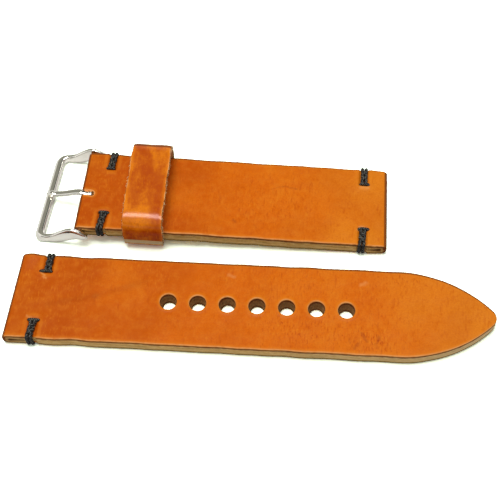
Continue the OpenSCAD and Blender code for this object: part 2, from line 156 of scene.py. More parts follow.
class ThreadSizes(bpy.types.PropertyGroup):
    """Sizes and places of the stitches"""
    thread: size("Thread", "Diameter of the waxed thread", 0.0009)
    sink: size("Sink", "How deep the thread is pulled into the leather", 0.00035)
    inner: size("Inner end", "Distance from the centre line to a stitch's inner end", 0.0072)
    tail_far: size("Tail far", "From the tail part's lug end to its far stitch", 0.0076)
    tail_near: size("Tail near", "From the tail part's lug end to its near stitch", 0.0065)
    lug: size("Buckle part lug", "From the buckle part's lug end to its stitches", 0.0064)
    buckle: size("Buckle end", "From the buckle's fold to its stitches", 0.0071)
    keeper_thread: size("Keeper thread", "Diameter of the keeper's thread", 0.0006)
    keeper_length: size("Keeper stitch", "Distance between that thread's two holes", 0.004)


class KeeperSizes(bpy.types.PropertyGroup):
    """Sizes of the keeper"""
    from_fold: size("From the fold", "From the buckle's fold to the keeper's middle", 0.0182)
    width: size("Width", "Width of the keeper along the strap", 0.0104)
    thickness: size("Thickness", "Thickness of its leather", 0.0014)
    lap: size("Lap thickness", "Thickness of the lap joint underneath", 0.002)
    lap_length: size("Lap length", "Length of the lap joint", 0.014)
    side_gap: size("Side gap", "Gap between the keeper and the strap's edges", 0.0002)
    under_gap: size("Under gap", "Gap between the strap and the lap joint", 0.0001)
    inner_height: size("Inner height", "Clear height in the keeper", 0.0087)
    upper_bend: size("Upper bend", "Inside radius of the upper bends", 0.0027)
    lower_bend: size("Lower bend", "Inside radius of the lower bends", 0.0004)
    edge_round: size("Edge rounding", "Radius of the keeper's edges", 0.00022)


class BuckleSizes(bpy.types.PropertyGroup):
    """Sizes of the buckle"""
    bar: size("Bar", "Diameter of the bar", 0.0016)
    seat: size("Seat", "How deep the bar's ends sit in the arms", 0.0008)
    arm_gap: size("Arm gap", "Gap between the leather's edge and an arm", 0.00035)
    arm: size("Arm", "Thickness of an arm", 0.00135)
    reach: size("Reach", "From the bar to the middle of the outer bar", 0.0111)
    outer_height: size("Outer bar height", "Height of the outer bar", 0.0024)
    outer_width: size("Outer bar width", "Width of the outer bar", 0.0017)
    outer_drop: size("Outer bar drop", "Drop from the bar to the outer bar", 0.00365)
    hump: size("Hump", "Height of the arms' hump above the bar", 0.00205)
    outer_spread: size("Outer bar spread", "How far the outer bar's outer side spreads down", 0.0014)
    hump_at: size("Hump place", "Distance from the bar to the hump", 0.0017)
    arm_top: size("Arm top", "Height of an arm above the bar at its rear", 0.0006)
    arm_low: size("Arm low", "Depth of an arm below the bar", 0.0022)
    arm_back: size("Arm back", "Length of an arm behind the bar", 0.0022)
    corner: size("Corner", "Radius of the frame's corners", 0.002)
    tongue_width: size("Tongue width", "Width of the tongue", 0.0018)
    tongue: size("Tongue", "Thickness of the tongue", 0.00125)
    ring: size("Ring", "Wall of the tongue's ring", 0.00085)
    play: size("Play", "Radial play on the bar", 0.00008)
    rest_gap: size("Rest gap", "Gap between the tongue and the outer bar", 0.00012)
    tip_over: size("Tip over", "How far the tongue reaches past the outer bar", 0.0001)
    tongue_near: size("Tongue place", "Distance from the middle of the bar to the tongue", 0.00065)
    tongue_turn: angle("Tongue turn", "Angle between the tongue and the buckle", 2.4)


class StrapColours(bpy.types.PropertyGroup):
    """Colours of the leather, the thread and the metal"""
    grain: shade("Grain", "Tan of the leather's face", (0.745, 0.152, 0.0030))
    # The deep and light grain also give the painted shade and highlight of the creases and the painted
    # highlight near the rims
    grain_deep: shade("Deep grain", "Darker cloud in the tan", (0.520, 0.082, 0.0010))
    grain_light: shade("Light grain", "Lighter cloud in the tan", (0.800, 0.238, 0.0120))
    # The burnished edges' dark line, also the colour of painted shade in the hollows, along the outline
    # and on the fold noses
    burnish_and_shade: shade("Burnish", "Dark line along the cut edges", (0.190, 0.045, 0.006))
    # Rubbed rim colour: real scuffs, and also the painted highlight along the rounded edges and hole
    # rims
    worn_and_sheen: shade("Worn rim", "Light rim where the dye has rubbed off", (0.910, 0.400, 0.118))
    raw: shade("Raw side", "Undyed cut side of the leather", (0.690, 0.375, 0.095))
    raw_deep: shade("Raw shadow", "Darker layers in the cut side", (0.400, 0.200, 0.036))
    raw_light: shade("Raw fibres", "Lighter fibres in the cut side", (0.860, 0.560, 0.205))
    # Painted contact shadow: the dark olive foot of the cut side stands in for the table's shadow under
    # the strap
    foot_shadow: shade("Raw foot", "Dark olive foot of the cut side", (0.200, 0.125, 0.032))
    fluff: shade("Fluff", "Pale loose fibres on the cut side", (0.800, 0.600, 0.330))
    mark: shade("Mark", "Dark red-brown scratches and stains", (0.250, 0.030, 0.006))
    # The keeper's deep and light colours also serve as its painted wall shade and the painted light
    # round its upper bends
    keeper: shade("Keeper", "Tan of the keeper", (0.560, 0.105, 0.0035))
    keeper_deep_and_shaded: shade("Deep keeper", "Darker cloud in the keeper", (0.480, 0.066, 0.0012))
    keeper_golden_and_lit: shade("Light keeper", "Golden cloud in the keeper", (0.900, 0.255, 0.005))
    thread: shade("Thread", "Waxed thread", (0.006, 0.005, 0.004))
    # Thread glint: lighter fibres, and also the painted glint on each ply's crown
    thread_light: shade("Thread glint", "Lighter fibres in the thread", (0.170, 0.160, 0.110))
    metal: shade("Metal", "Tint of the polished metal", (0.860, 0.840, 0.760))
    smear: shade("Smear", "Tint of the metal where it has been handled", (0.700, 0.670, 0.560))


class StageSettings(bpy.types.PropertyGroup):
    """Camera, lamps and floor"""
    target: FloatVectorProperty(name="Target", description="Point that the camera looks at", size=3,
                                default=(-0.001936, 0.0020828, 0.0), subtype="TRANSLATION",
                                unit="LENGTH")
    distance: size("Distance", "From the camera to that point", 0.280034)
    lens: amount("Lens", "Focal length in millimetres", 76.41)
    azimuth: angle("Azimuth", "Camera's turn round the object", 7.280)
    elevation: angle("Elevation", "Camera's height above the horizon", 58.909)
    roll: angle("Roll", "Camera's turn about its own axis", -3.595)
    softbox: amount("Softbox", "Power of the overhead softbox in watts", 4.6)
    softbox_width: size("Softbox width", "Side of the square softbox", 0.46)
    softbox_height: size("Softbox height", "Height of the softbox above the table", 0.78)
    softbox_back: size("Softbox back", "How far behind the object the softbox hangs", 0.10)
    softbox_left: size("Softbox left", "How far to the left of the object the softbox hangs", 0.08)
    panel: amount("Panel", "Brightness of the overhead panel in reflections", 16.0)
    ambient: amount("Ambient", "Brightness of the surroundings", 0.32)
    floor: shade("Floor", "Colour of the table", (0.80, 0.80, 0.79))
    floor_seen: shade("Floor seen", "Colour of the table to the camera, which sees it in the shadows",
                      (0.70, 0.80, 0.68))
    floor_gain: amount("Floor gain", "How much brighter the camera sees the table", 3.0)


def settings():
    """The scene's property groups: strap, thread, keeper, buckle, colours and stage."""
    s = bpy.context.scene
    return s.strap_sizes, s.thread_sizes, s.keeper_sizes, s.buckle_sizes, s.strap_colours, s.strap_stage


# Shapes as whole arrays

def smooth(x, start, end):
    """0 before start, 1 after end, and half a cosine wave between them."""
    share = np.clip((np.asarray(x, float) - start) / (end - start), 0.0, 1.0)
    return 0.5 - 0.5 * np.cos(np.pi * share)


def bell(x, width):
    """1 at 0, falling as the Gauss curve whose inflection is at width."""
    return np.exp(-0.5 * (np.asarray(x, float) / width) ** 2)


def unevenness(x, y, length, seed, waves=9):
    """Soft ups and downs of about -1 to 1: plane waves of lengths near length are summed,
    with directions and phases drawn from the seed."""
    draw = np.random.default_rng(seed)
    heading = draw.uniform(0, 2 * np.pi, waves)
    rate = 2 * np.pi / (length * draw.uniform(0.6, 1.7, waves))
    phase = draw.uniform(0, 2 * np.pi, waves)
    along = np.multiply.outer(x, rate * np.cos(heading)) + np.multiply.outer(y, rate * np.sin(heading))
    return np.sin(along + phase).sum(-1) / math.sqrt(waves)


def spread(start, end, step):
    """Evenly spaced values from start up to, but without, end, about a step apart."""
    count = max(1, int(round((end - start) / step)))
    return start + (end - start) * np.arange(count) / count


def grid_quads(rows, columns, wrap_rows=False, wrap_columns=False):
    """Corner numbers of the quads between neighbouring points of a grid of rows by columns."""
    r = np.arange(rows if wrap_rows else rows - 1)[:, None]
    c = np.arange(columns if wrap_columns else columns - 1)[None, :]
    below, right = (r + 1) % rows, (c + 1) % columns
    corners = [r * columns + c, r * columns + right, below * columns + right, below * columns + c]
    return np.stack(np.broadcast_arrays(*corners), -1).reshape(-1, 4)


class Sheet:
    """Points of a surface, its quads, and one value per point and attribute."""

    def __init__(self, points, quads, **values):
        self.points = np.asarray(points, float).reshape(-1, 3)
        self.quads = np.asarray(quads, np.int64).reshape(-1, 4)
        count = len(self.points)
        self.values = {k: np.broadcast_to(np.asarray(v, float), np.shape(points)[:-1]).reshape(-1)
                       if np.ndim(v) else np.full(count, float(v)) for k, v in values.items()}

    def mirrored(self, thickness):
        """The same sheet turned over to the underside: its height counts down from the top."""
        points = self.points * (1, 1, -1) + (0, 0, thickness)
        values = dict(self.values)
        values["depth"] = thickness - values["depth"]
        values["under"] = 1.0 - values["under"]
        turned = Sheet(points, self.quads[:, ::-1])
        turned.values = values
        return turned


def joined(sheets):
    """All sheets as one: points at the same place become one point, and quads that have lost
    a side become triangles or go. Gives points, faces (quads and triangles) and values."""
    starts = np.cumsum([0] + [len(s.points) for s in sheets[:-1]])
    points = np.concatenate([s.points for s in sheets])
    quads = np.concatenate([s.quads + at for s, at in zip(sheets, starts)])
    cells = np.floor(points / WELD + 0.37).astype(np.int64)
    _, first, number = np.unique(cells, axis=0, return_index=True, return_inverse=True)
    quads = number.reshape(-1)[quads]
    same = quads == np.roll(quads, -1, axis=1)
    whole = quads[same.sum(1) == 0]
    whole = whole[(whole[:, 0] != whole[:, 2]) & (whole[:, 1] != whole[:, 3])]
    triangles = [np.delete(quads[(same.sum(1) == 1) & same[:, k]], k, axis=1) for k in range(4)]
    values = {k: np.concatenate([s.values[k] for s in sheets])[first] for k in sheets[0].values}
    return points[first], (whole, np.concatenate(triangles)), values


def finished_piece(name, points, faces, values, material, body, stands_for=(), crease=40.0):
    """Makes the mesh object from whole arrays, turns its faces outward, and seats it in the frame."""
    mesh = bpy.data.meshes.new(name)
    mesh.from_pydata(points, [], [f for group in faces for f in group.tolist()])
    for key, value in values.items():
        mesh.attributes.new(key, "FLOAT", "POINT").data.foreach_set("value", value.astype(np.float32))
    turned = bmesh.new()
    turned.from_mesh(mesh)
    bmesh.ops.recalc_face_normals(turned, faces=turned.faces)
    turned.to_mesh(mesh)
    turned.free()
    mesh.shade_smooth()
    mesh.set_sharp_from_angle(angle=math.radians(crease))
    mesh.materials.append(material)
    piece = bpy.data.objects.new(name, mesh)
    bpy.context.scene.collection.objects.link(piece)
    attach(piece, body)
    if stands_for:
        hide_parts(*stands_for)
    return piece


def laid_piece(name, sheets, lay, material, body, stands_for=(), crease=40.0):
    """Makes one piece of all the sheets, with their points laid in place."""
    points, faces, values = joined(sheets)
    return finished_piece(name, lay(points), faces, values, material, body, stands_for, crease)


def dye_tone(points, stops, seed):
    """How far the dye goes from deep (0) over plain (0.5) to light (1): straight lines between stops
    of (place along X, tone), made uneven by slow waves."""
    at, tone = np.transpose(stops)
    waves = 0.07 * unevenness(points[:, 0], points[:, 1], 16 * MM, seed)
    return np.clip(np.interp(points[:, 0], at * MM, tone) + waves, 0, 1)


def pairs(a, b):
    """Two numbers for each point, from arrays or single numbers."""
    return np.stack(np.broadcast_arrays(a, b), -1)


def rotation(axis, angle):
    """A turn about an axis: the turn about X, its rows and columns moved on for Y and Z."""
    c, s = math.cos(angle), math.sin(angle)
    return np.roll([[1, 0, 0], [0, c, -s], [0, s, c]], (axis, axis), (0, 1))


# Places, read from the frame

class Places:
    """Where the two parts and the buckle lie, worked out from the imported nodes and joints."""

    def __init__(self):
        strap, _, _, buckle, _, _ = settings()
        joints = {j["name"]: j for j in frame["joints"]}
        slide = joints["keeper_slide"]["axis"]
        axis = joints["buckle_swing"]["axis"]
        low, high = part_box("long_strap")
        self.radius = strap.thickness / 2
        self.width = high.y - low.y
        self.pitch = math.atan2(-slide[2], slide[0])
        self.skew = math.atan2(math.hypot(axis[0], axis[2]), axis[1])
        self.fold_skew = math.radians(1.5)
        self.bar = np.array(joints["buckle_swing"]["pos_m"])
        self.tail_corner = np.array([low.x, (low.y + high.y) / 2, 0.0])
        self.tail_length = high.x - low.x
        lug_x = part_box("short_strap")[1].x
        self.lug_pivot = np.array([lug_x - self.radius, self.bar[1], self.radius])
        reach = np.linalg.norm((self.bar - self.lug_pivot)[[0, 2]])
        self.short_length = reach + 2 * self.radius
        level = math.asin((self.bar[2] - buckle.outer_height / 2)
                          / math.hypot(buckle.reach, buckle.outer_drop))
        self.tilt = level - math.atan2(buckle.outer_drop, buckle.reach)

    def on_tail(self, p):
        """From distances along, across and above the tail part to the frame."""
        return p + self.tail_corner

    def on_buckle_part(self, p):
        """From distances along the buckle part from its lug end, across and above it, to the frame."""
        local = np.stack([self.radius - p[..., 0], p[..., 1], p[..., 2] - self.radius], -1)
        return local @ rotation(Y, self.pitch).T + self.lug_pivot

    def on_buckle(self, p):
        """From a buckle drawn level round its bar to the frame."""
        turn = rotation(Y, self.pitch) @ rotation(Z, -self.skew) @ rotation(Y, self.tilt - self.pitch)
        return p @ turn.T + self.bar


# Leather parts

class Stations:
    """Places along a leather part: where its upper edge line runs, with the outline's normal (nx, ny)
    seen from above and the face's normal (mx, mz) seen from the side."""
    KEYS = ("x", "half", "nx", "ny", "height", "mx", "mz")

    def __init__(self, *fields):
        for key, field in zip(self.KEYS, np.broadcast_arrays(*fields)):
            setattr(self, key, field)

    @staticmethod
    def straight(x, half, thickness):
        """Stations of a flat stretch with straight sides."""
        return Stations(x, half, 0.0, 1.0, thickness, 0.0, 1.0)

    @staticmethod
    def fold(at, facing, half, radius):
        """Stations of a pressed fold, from its nose to the flat: seen from the side it is a half
        circle pushed towards a box, the sine and cosine raised to a power below one. Its normal
        has the sine and cosine raised to two less that power."""
        turn = np.linspace(np.pi / 2, 0, FOLD_STEPS + 1)[:-1]
        sine, cosine = np.sin(turn), np.clip(np.cos(turn), 0, 1)
        mx, mz = sine ** (2 - FOLD_POWER), cosine ** (2 - FOLD_POWER)
        norm = np.hypot(mx, mz)
        return Stations(at + facing * radius * (1 - sine ** FOLD_POWER), half, 0.0, 1.0,
                        radius * (1 + cosine ** FOLD_POWER), -facing * mx / norm, mz / norm)

    @staticmethod
    def arc(centre_x, centre_y, radius, start, end, steps, thickness):
        """Stations of a flank or tip: an arc seen from above, its normal turning from start to end."""
        turn = np.linspace(start, end, steps + 1)
        return Stations(centre_x + radius * np.sin(turn), centre_y + radius * np.cos(turn),
                        np.sin(turn), np.cos(turn), thickness, 0.0, 1.0)

    @staticmethod
    def chain(*runs):
        """Runs of stations joined end to end."""
        return Stations(*(np.concatenate([getattr(r, k) for r in runs]) for k in Stations.KEYS))

    def turned(self):
        """The same stations from the last to the first."""
        return Stations(*(getattr(self, k)[::-1] for k in Stations.KEYS))


def opening(distance, radius, slit, slit_height):
    """Half the height of a fold's hollow at a distance behind its axis: a round tunnel,
    and a slit that closes in a straight line."""
    round_part = np.sqrt(np.clip(radius ** 2 - np.maximum(distance, 0) ** 2, 0, None))
    slit_part = slit_height / 2 * np.clip(1 - distance / (slit + radius), 0, None)
    return np.maximum(np.where(distance < radius, round_part, 0), slit_part)


def hollow_depths(stations, folds, fold_radius):
    """How far down the side each station's wall runs: to the hollow of the nearest fold, or to
    mid height. A fold is (nose, facing, radius of the hollow, slit length, slit height)."""
    depth = np.full(len(stations.x), fold_radius)
    for nose, facing, radius, slit, slit_height in folds:
        behind = facing * (stations.x - nose) - fold_radius
        depth = np.where(behind < slit + radius,
                         fold_radius - np.where(behind < 0, radius,
                                                opening(behind, radius, slit, slit_height)), depth)
    return depth


def across_rows(strap, sewing, half):
    """Places across the top, from the far to the near edge line: even over the block of holes,
    and finer where the stitches lie."""
    block, edge_line, sewn_from = strap.hole_pitch / 2, half - strap.edge_round, sewing.inner - 1.4 * MM
    outer = np.concatenate([spread(block, sewn_from, 0.42 * MM), spread(sewn_from, edge_line, 0.27 * MM),
                            [edge_line]])
    inner = np.linspace(-block, block, BLOCK_STEPS + 1)[1:-1]
    return np.concatenate([outer[::-1], inner[::-1], -outer])


def leather_half(stations, rows, depth, edge, half_flat, side_steps=7, corner_steps=6):
    """The upper half of a leather part. Each row of the grid is one station, and runs from the far
    side's middle up the side, round the edge, across the top and down the near side. Gives the
    points, how far down and how cut each is, and how near to a hollow."""
    share = np.linspace(0, 1, side_steps + 1)[None, :-1]
    side_depth = depth[:, None] + (edge - depth[:, None]) * share
    bend = np.linspace(0, np.pi / 2, corner_steps + 1)[None, :-1] + 0 * depth[:, None]
    top = np.zeros((len(depth), len(rows)))
    down = np.concatenate([side_depth, edge * (1 - np.sin(bend)), top,
                           (edge * (1 - np.sin(bend)))[:, ::-1], side_depth[:, ::-1]], 1)
    inset = np.concatenate([0 * side_depth, edge * (1 - np.cos(bend)), top + edge,
                            (edge * (1 - np.cos(bend)))[:, ::-1], 0 * side_depth], 1)
    ends = side_steps + corner_steps
    across = np.concatenate([np.ones(ends), rows / half_flat, -np.ones(ends)])[None, :]
    s = {k: getattr(stations, k)[:, None] for k in Stations.KEYS}
    points = np.stack([s["x"] - inset * s["nx"] - down * s["mx"],
                       across * (s["half"] - inset * s["ny"]),
                       s["height"] - down * s["mz"] + 0 * across], -1)
    near_hollow = np.concatenate([1 - share, 0 * bend[:1], 0 * top[:1], 0 * bend[:1], share], 1)
    return points, down, np.clip(down / edge, 0, 1), near_hollow + 0 * depth[:, None]


def block_mask(points, quads, low, high, half):
    """True for quads whose middle lies in the block from low to high along and half to each side."""
    middle = points.reshape(-1, 3)[quads].mean(1)
    return (middle[:, 0] > low) & (middle[:, 0] < high) & (np.abs(middle[:, 1]) < half)


def hole_sheets(centres, strap):
    """The top round each hole and the upper half of its wall. A square of points is drawn in
    row by row to the rim's circle, turns down over the rounded rim, and runs to mid height."""
    half_block, radius, rim = strap.hole_pitch / 2, strap.hole / 2, strap.hole_rim
    thickness, steps = strap.thickness, BLOCK_STEPS
    side = np.linspace(-1, 1, steps + 1)[:-1]
    square = half_block * np.concatenate([pairs(side, -1), pairs(1, side), pairs(-side, 1),
                                          pairs(-1, -side)])
    angle = -0.75 * np.pi + 2 * np.pi * np.arange(4 * steps) / (4 * steps)
    circle = pairs(np.cos(angle), np.sin(angle))
    inward = np.array([0, 0.16, 0.32, 0.48, 0.62, 0.74, 0.84, 0.92, 1.0])[:, None, None]
    flat = square * (1 - inward) + (radius + rim) * circle * inward
    bend = np.linspace(0, np.pi / 2, 6)[1:]
    ring_radius = np.concatenate([radius + rim * (1 - np.sin(bend)), np.full(6, radius)])
    ring_depth = np.concatenate([rim * (1 - np.cos(bend)),
                                 rim + (thickness / 2 - rim) * np.arange(1, 7) / 6])
    plan = np.concatenate([flat, ring_radius[:, None, None] * circle])
    down = np.concatenate([np.zeros(len(inward)), ring_depth])[:, None] + 0 * plan[..., 0]
    quads, cut = grid_quads(*down.shape, wrap_columns=True), np.clip(down / rim, 0, 1)
    return [Sheet(np.concatenate([plan + (centre, 0), (thickness - down)[..., None]], -1), quads,
                  depth=down, cut=cut, under=0.0, hollow=0.0) for centre in centres]


def slot_sheet(stations, nose, length, strap, rim=0.12 * MM):
    """The top round the tongue's slot and the upper half of the slot's wall. A row of points runs
    round three sides of a block at the fold; it is drawn in row by row to the slot's outline,
    turns down over the rim and runs to mid height. The outline is a straight run, a half circle and
    a straight run back. On the fold, points keep their distance from the nose."""
    half_block, half_slot, thickness = strap.hole_pitch / 2, strap.slot_width / 2, strap.thickness
    fold_radius, steps, fold_steps = thickness / 2, BLOCK_STEPS, FOLD_STEPS
    away = nose - stations.x
    count = int(np.sum(away < length - WELD)) + 1
    along = away[:count]
    cross = np.linspace(-half_block, half_block, steps + 1)[1:-1]
    outer = np.concatenate([pairs(along, -half_block), pairs(length, cross),
                            pairs(along[::-1], half_block)])
    centre = strap.slot_depth - half_slot
    before = centre - fold_radius
    after = before + np.pi * half_slot
    run = np.linspace(0, before + after, len(outer) - 2 * fold_steps)
    turn = np.clip((run - before) / half_slot, 0, np.pi) - np.pi / 2
    slot_x = centre + half_slot * np.cos(turn) - np.maximum(before - run, 0) - np.maximum(run - after, 0)
    turn = np.pad(turn, fold_steps, mode="edge")
    base = pairs(np.concatenate([along[:fold_steps], slot_x, along[:fold_steps][::-1]]),
                 half_slot * np.sin(turn))
    out = pairs(np.cos(turn), np.sin(turn))
    inward = np.linspace(0, 1, 9)[:, None, None]
    bend = np.linspace(0, np.pi / 2, 6)[1:, None, None]
    wall = np.arange(1, 7)[:, None, None] / 6
    plan = np.concatenate([outer * (1 - inward) + (base + rim * out) * inward,
                           base + rim * (1 - np.sin(bend)) * out, base + 0 * wall])
    down = np.concatenate([0 * inward, rim * (1 - np.cos(bend)),
                           rim + (fold_radius - rim) * wall])[:, :, 0] + 0 * plan[:, :, 0]
    height = np.full(len(base), thickness)
    mx, mz = np.zeros(len(base)), np.ones(len(base))
    for field, on_fold in ((height, stations.height), (mx, stations.mx), (mz, stations.mz)):
        field[:fold_steps] = on_fold[:fold_steps]
        field[-fold_steps:] = on_fold[:fold_steps][::-1]
    points = np.stack([nose - plan[:, :, 0] - down * mx, plan[:, :, 1], height - down * mz], -1)
    return Sheet(points, grid_quads(*plan.shape[:2]), depth=down, cut=np.clip(down / rim, 0, 1),
                 under=0.0, hollow=0.0)


def hollow_sheet(stations, depth, fold_radius, rows, blind=False):
    """The upper half of a fold's hollow: its outline at the side, carried across the width. A blind
    one closes to a line at its last row."""
    open_part = depth < fold_radius - WELD
    count = int(open_part.sum()) + 1
    s = {k: getattr(stations, k)[:count, None] for k in ("x", "height", "mx", "mz")}
    d = depth[:count, None]
    points = np.stack([s["x"] - d * s["mx"] + 0 * rows, rows + 0 * d,
                       s["height"] - d * s["mz"] + 0 * rows], -1)
    if blind:
        points[:, -1] = (points[0, -1] + points[-1, -1]) / 2
    return Sheet(points, grid_quads(*points.shape[:2]), depth=fold_radius, cut=1.0, under=0.0,
                 hollow=1.0)


def skin_sheet(stations, rows, depth, edge, half, fold_radius, low, high, half_block):
    """A leather part's upper half without the block that its holes or its slot fill."""
    points, down, cut, hollow = leather_half(stations, rows, depth, edge, half - edge)
    quads = grid_quads(*points.shape[:2])
    quads = quads[~block_mask(points, quads, low, high, half_block)]
    opened = np.clip((fold_radius - depth) / fold_radius, 0, 1)[:, None]
    return Sheet(points, quads, depth=down, cut=cut, under=0.0,
                 hollow=hollow * np.minimum(2.5 * opened, 1))


def stitch_wells(p, stitches, thread, sewn):
    """Where the leather gives way under its stitches. Each stitch at (x, side) presses a trough
    across the top and the edge, as wide as two strands, with a needle hole at its inner end and
    a low swell of leather beside it. Gives the drop of the top, the draw of the edge and the swell."""
    drop, draw, swell = np.zeros(len(p)), np.zeros(len(p)), np.zeros(len(p))
    for x, side in stitches:
        off = np.abs(p[:, 0] - x)
        across = p[:, 1] * side
        trough = 1 - smooth(off, 0.95 * thread, 1.55 * thread)
        drop = np.maximum(drop, trough * smooth(across, sewn - 0.7 * thread, sewn - 0.2 * thread))
        foot = (1 - smooth(off, 1.25 * thread, 1.75 * thread)) * bell(across - sewn, 0.42 * thread)
        drop = np.maximum(drop, foot)
        draw = np.maximum(draw, trough * (across > 0))
        swell += bell(off - 2.2 * thread, 0.55 * thread) \
            * smooth(across, sewn - 2 * thread, sewn + thread)
        swell += bell(across - sewn + 1.5 * thread, 0.8 * thread) * bell(off, 1.6 * thread)
    return drop, draw, swell


class LeatherPart:
    """One strap part in its own lengths: along from the lug end, across, and up from the table.
    It is its upper sheets and the same sheets turned over."""

    def __init__(self, upper, stations, strap, sewing, stitches, half, length, folds):
        lower = [sheet.mirrored(strap.thickness) for sheet in upper]
        self.points, self.faces, self.values = joined(upper + lower)
        self.strap, self.sewing, self.stitches = strap, sewing, stitches
        self.half, self.length, self.two_folds = half, length, len(folds) == 2
        self.centres = np.array([])
        order = np.argsort(stations.x)
        width = np.interp(self.points[:, 0], stations.x[order], stations.half[order])
        self.values["rim"] = np.clip(width - np.abs(self.points[:, 1]), 0, 4 * MM)
        self.values["height"] = np.maximum(self.points[:, 2], strap.thickness - self.points[:, 2])
        self.values["outline"] = np.zeros(len(self.points))
        # Share of pale fluff colour on the raw side and back; on the keeper's foot it is a painted
        # reflection of the table
        self.values["paleness_and_reflection"] = np.zeros(len(self.points))

    def top_share(self):
        """1 for points on the top, 0 on the cut sides and underneath."""
        return (1 - self.values["under"]) * (1 - self.values["cut"])

    def press_stitches(self):
        """Sinks the leather under the stitches: shallow on top, a whole thread deep below."""
        p, v, thread, sink = self.points, self.values, self.sewing.thread, self.sewing.sink + 0.06 * MM
        drop, draw, swell = stitch_wells(p, self.stitches, thread, self.sewing.inner)
        top = self.top_share()
        below = v["under"] * (1 - v["cut"])
        p[:, 2] += -top * drop * sink + below * drop * 1.12 * thread
        p[:, 1] -= np.sign(p[:, 1]) * v["cut"] * draw * sink * (1 - v["hollow"])
        p[:, 2] += top * 0.13 * MM * swell
        v["pull"] = np.clip(swell, 0, 1)

    def wear(self, seed):
        """Makes the cut edges slightly wavy and the top slightly uneven."""
        p, v = self.points, self.values
        edge = np.clip(np.abs(p[:, 1]) / self.half, 0, 1) ** 10
        wave = EDGE_WAVE * unevenness(p[:, 0], 0 * p[:, 0], 9 * MM, seed)
        p[:, 1] += edge * wave * np.sign(p[:, 1])
        fray = EDGE_FRAY * unevenness(p[:, 0], 2 * p[:, 2], 0.9 * MM, seed + 1)
        p[:, 1] += edge * v["cut"] * fray * np.sign(p[:, 1]) * (1 - v["hollow"])
        p[:, 2] += self.top_share() * TOP_SWELL * unevenness(p[:, 0], p[:, 1], 7 * MM, seed + 2)

    def raise_rims(self, centres, radius):
        """Raises a soft rim round each hole on the top, narrows the hole towards its foot, and paints a
        highlight on the rim, most on the side that faces the light."""
        p, v, self.centres = self.points, self.values, centres
        nearest = self.hole_offset()[0]
        inside = np.hypot(nearest, p[:, 1]) < radius + self.strap.hole_rim
        # The hole's wall counts as hollow, so it is painted in shade
        v["hollow"] = np.maximum(v["hollow"], 0.6 * inside * v["cut"])
        shrink = np.where(inside, v["depth"] / self.strap.thickness, 0)
        shrink = shrink * self.strap.hole_taper / radius
        p[:, 0] -= nearest * shrink
        p[:, 1] -= p[:, 1] * shrink
        top = (1 - v["under"]) * (1 - 0.5 * v["cut"])
        near = np.hypot(nearest, p[:, 1])
        p[:, 2] += top * 0.11 * MM * bell(near - radius - 0.35 * MM, 0.3 * MM)
        # Painted highlight: the side of each rim that faces the light gets a wider light band
        facing = 0.5 - 0.5 * np.cos(np.arctan2(p[:, 1], nearest) - math.radians(115))
        rim = np.maximum(near - radius, 0) + 0.30 * MM * facing
        v["rim"] = np.where(near < radius + 2 * MM, np.minimum(v["rim"], rim), v["rim"])

    def far_outline(self, strength):
        """Paints shade as a dark line, in the colour of the burnished edges, along the far edge, whose
        strength runs from the first value at the lug end to the second at the other end, and across the
        folds. The folded leather's underside is dyed as the top is, so it no longer counts as the
        underside."""
        v, x = self.values, self.points[:, 0]
        # Painted shade: a dark line along the far edge and across the fold faces
        line = 1 - smooth(v["rim"], 0.42 * MM, 0.85 * MM)
        fade = np.interp(x, (0, self.length), strength)
        far_side = self.points[:, 1] > (self.half / 2 if self.two_folds else 0.3 * MM)
        line = line * fade * far_side * (np.hypot(*self.hole_offset()) > 3 * MM)
        from_end = np.minimum(x, self.length - x) if self.two_folds else x
        v["outline"] = np.maximum(line, 0.95 * (1 - smooth(from_end, 0.45 * MM, 1.15 * MM)))
        flap = self.strap.flap
        v["under"] = v["under"] * smooth(from_end, flap - 0.2 * MM, flap + 0.1 * MM)

    def hole_offset(self):
        """Each point's distances along and across from the nearest hole, or far away without holes."""
        if not len(self.centres):
            return np.full((2, len(self.points)), 1.0)
        offset = self.points[:, 0, None] - self.centres
        return np.stack([np.take_along_axis(offset, np.abs(offset).argmin(1)[:, None], 1)[:, 0],
                         self.points[:, 1]])

    def seam_groove(self):
        """Presses the groove across the underside where the folded leather ends."""
        p = self.points
        for x in (self.strap.flap, *([self.length - self.strap.flap] if self.two_folds else [])):
            p[:, 2] += self.values["under"] * 0.35 * MM * bell(p[:, 0] - x, 0.18 * MM)


def lug_slants(points, values, half, slant):
    """Slants the tail's lug end: its near corner reaches further by the slant, falling in a straight
    line to the far corner, which is puffed up in the shape of a bell."""
    near_nose = 1 - smooth(points[:, 0], 0.8 * MM, 5.4 * MM)
    points[:, 0] -= slant * (0.5 - 0.5 * points[:, 1] / half) * near_nose
    puff = bell(points[:, 0] - 3.0 * MM, 1.5 * MM) * smooth(points[:, 1], 6.5 * MM, 11.5 * MM)
    points[:, 2] += 0.42 * MM * puff * (1 - values["under"]) * (values["hollow"] < 0.5)
    points[:, 1] += 0.22 * MM * puff


def slot_leans(points, nose, radius, strap, tongue_near, turn):
    """Moves the tongue's slot off the middle and turns it: points near it shift sideways by a
    straight line in their distance from the bar, fading out round the slot."""
    from_bar = points[:, 0] - (nose - radius)
    round_slot = 1 - smooth(np.abs(points[:, 1]), strap.slot_width / 2 + 0.2 * MM, strap.hole_pitch / 2)
    round_slot = round_slot * smooth(points[:, 0], nose - strap.slot_depth - 2.6 * MM,
                                     nose - strap.slot_depth - 0.3 * MM)
    points[:, 1] += round_slot * (from_bar * math.tan(turn) - tongue_near)


def bar_leans(points, values, nose, skew, hollow_skew):
    """Slants a fold: its nose and hollow lie askew by the two angles, fading towards the strap."""
    near = 1 - smooth(nose - points[:, 0], 5 * MM, 14 * MM)
    points[:, 0] -= points[:, 1] * near * (math.tan(skew) + values["hollow"] * math.tan(hollow_skew))


# Round stock: thread, hairs and the buckle's metal

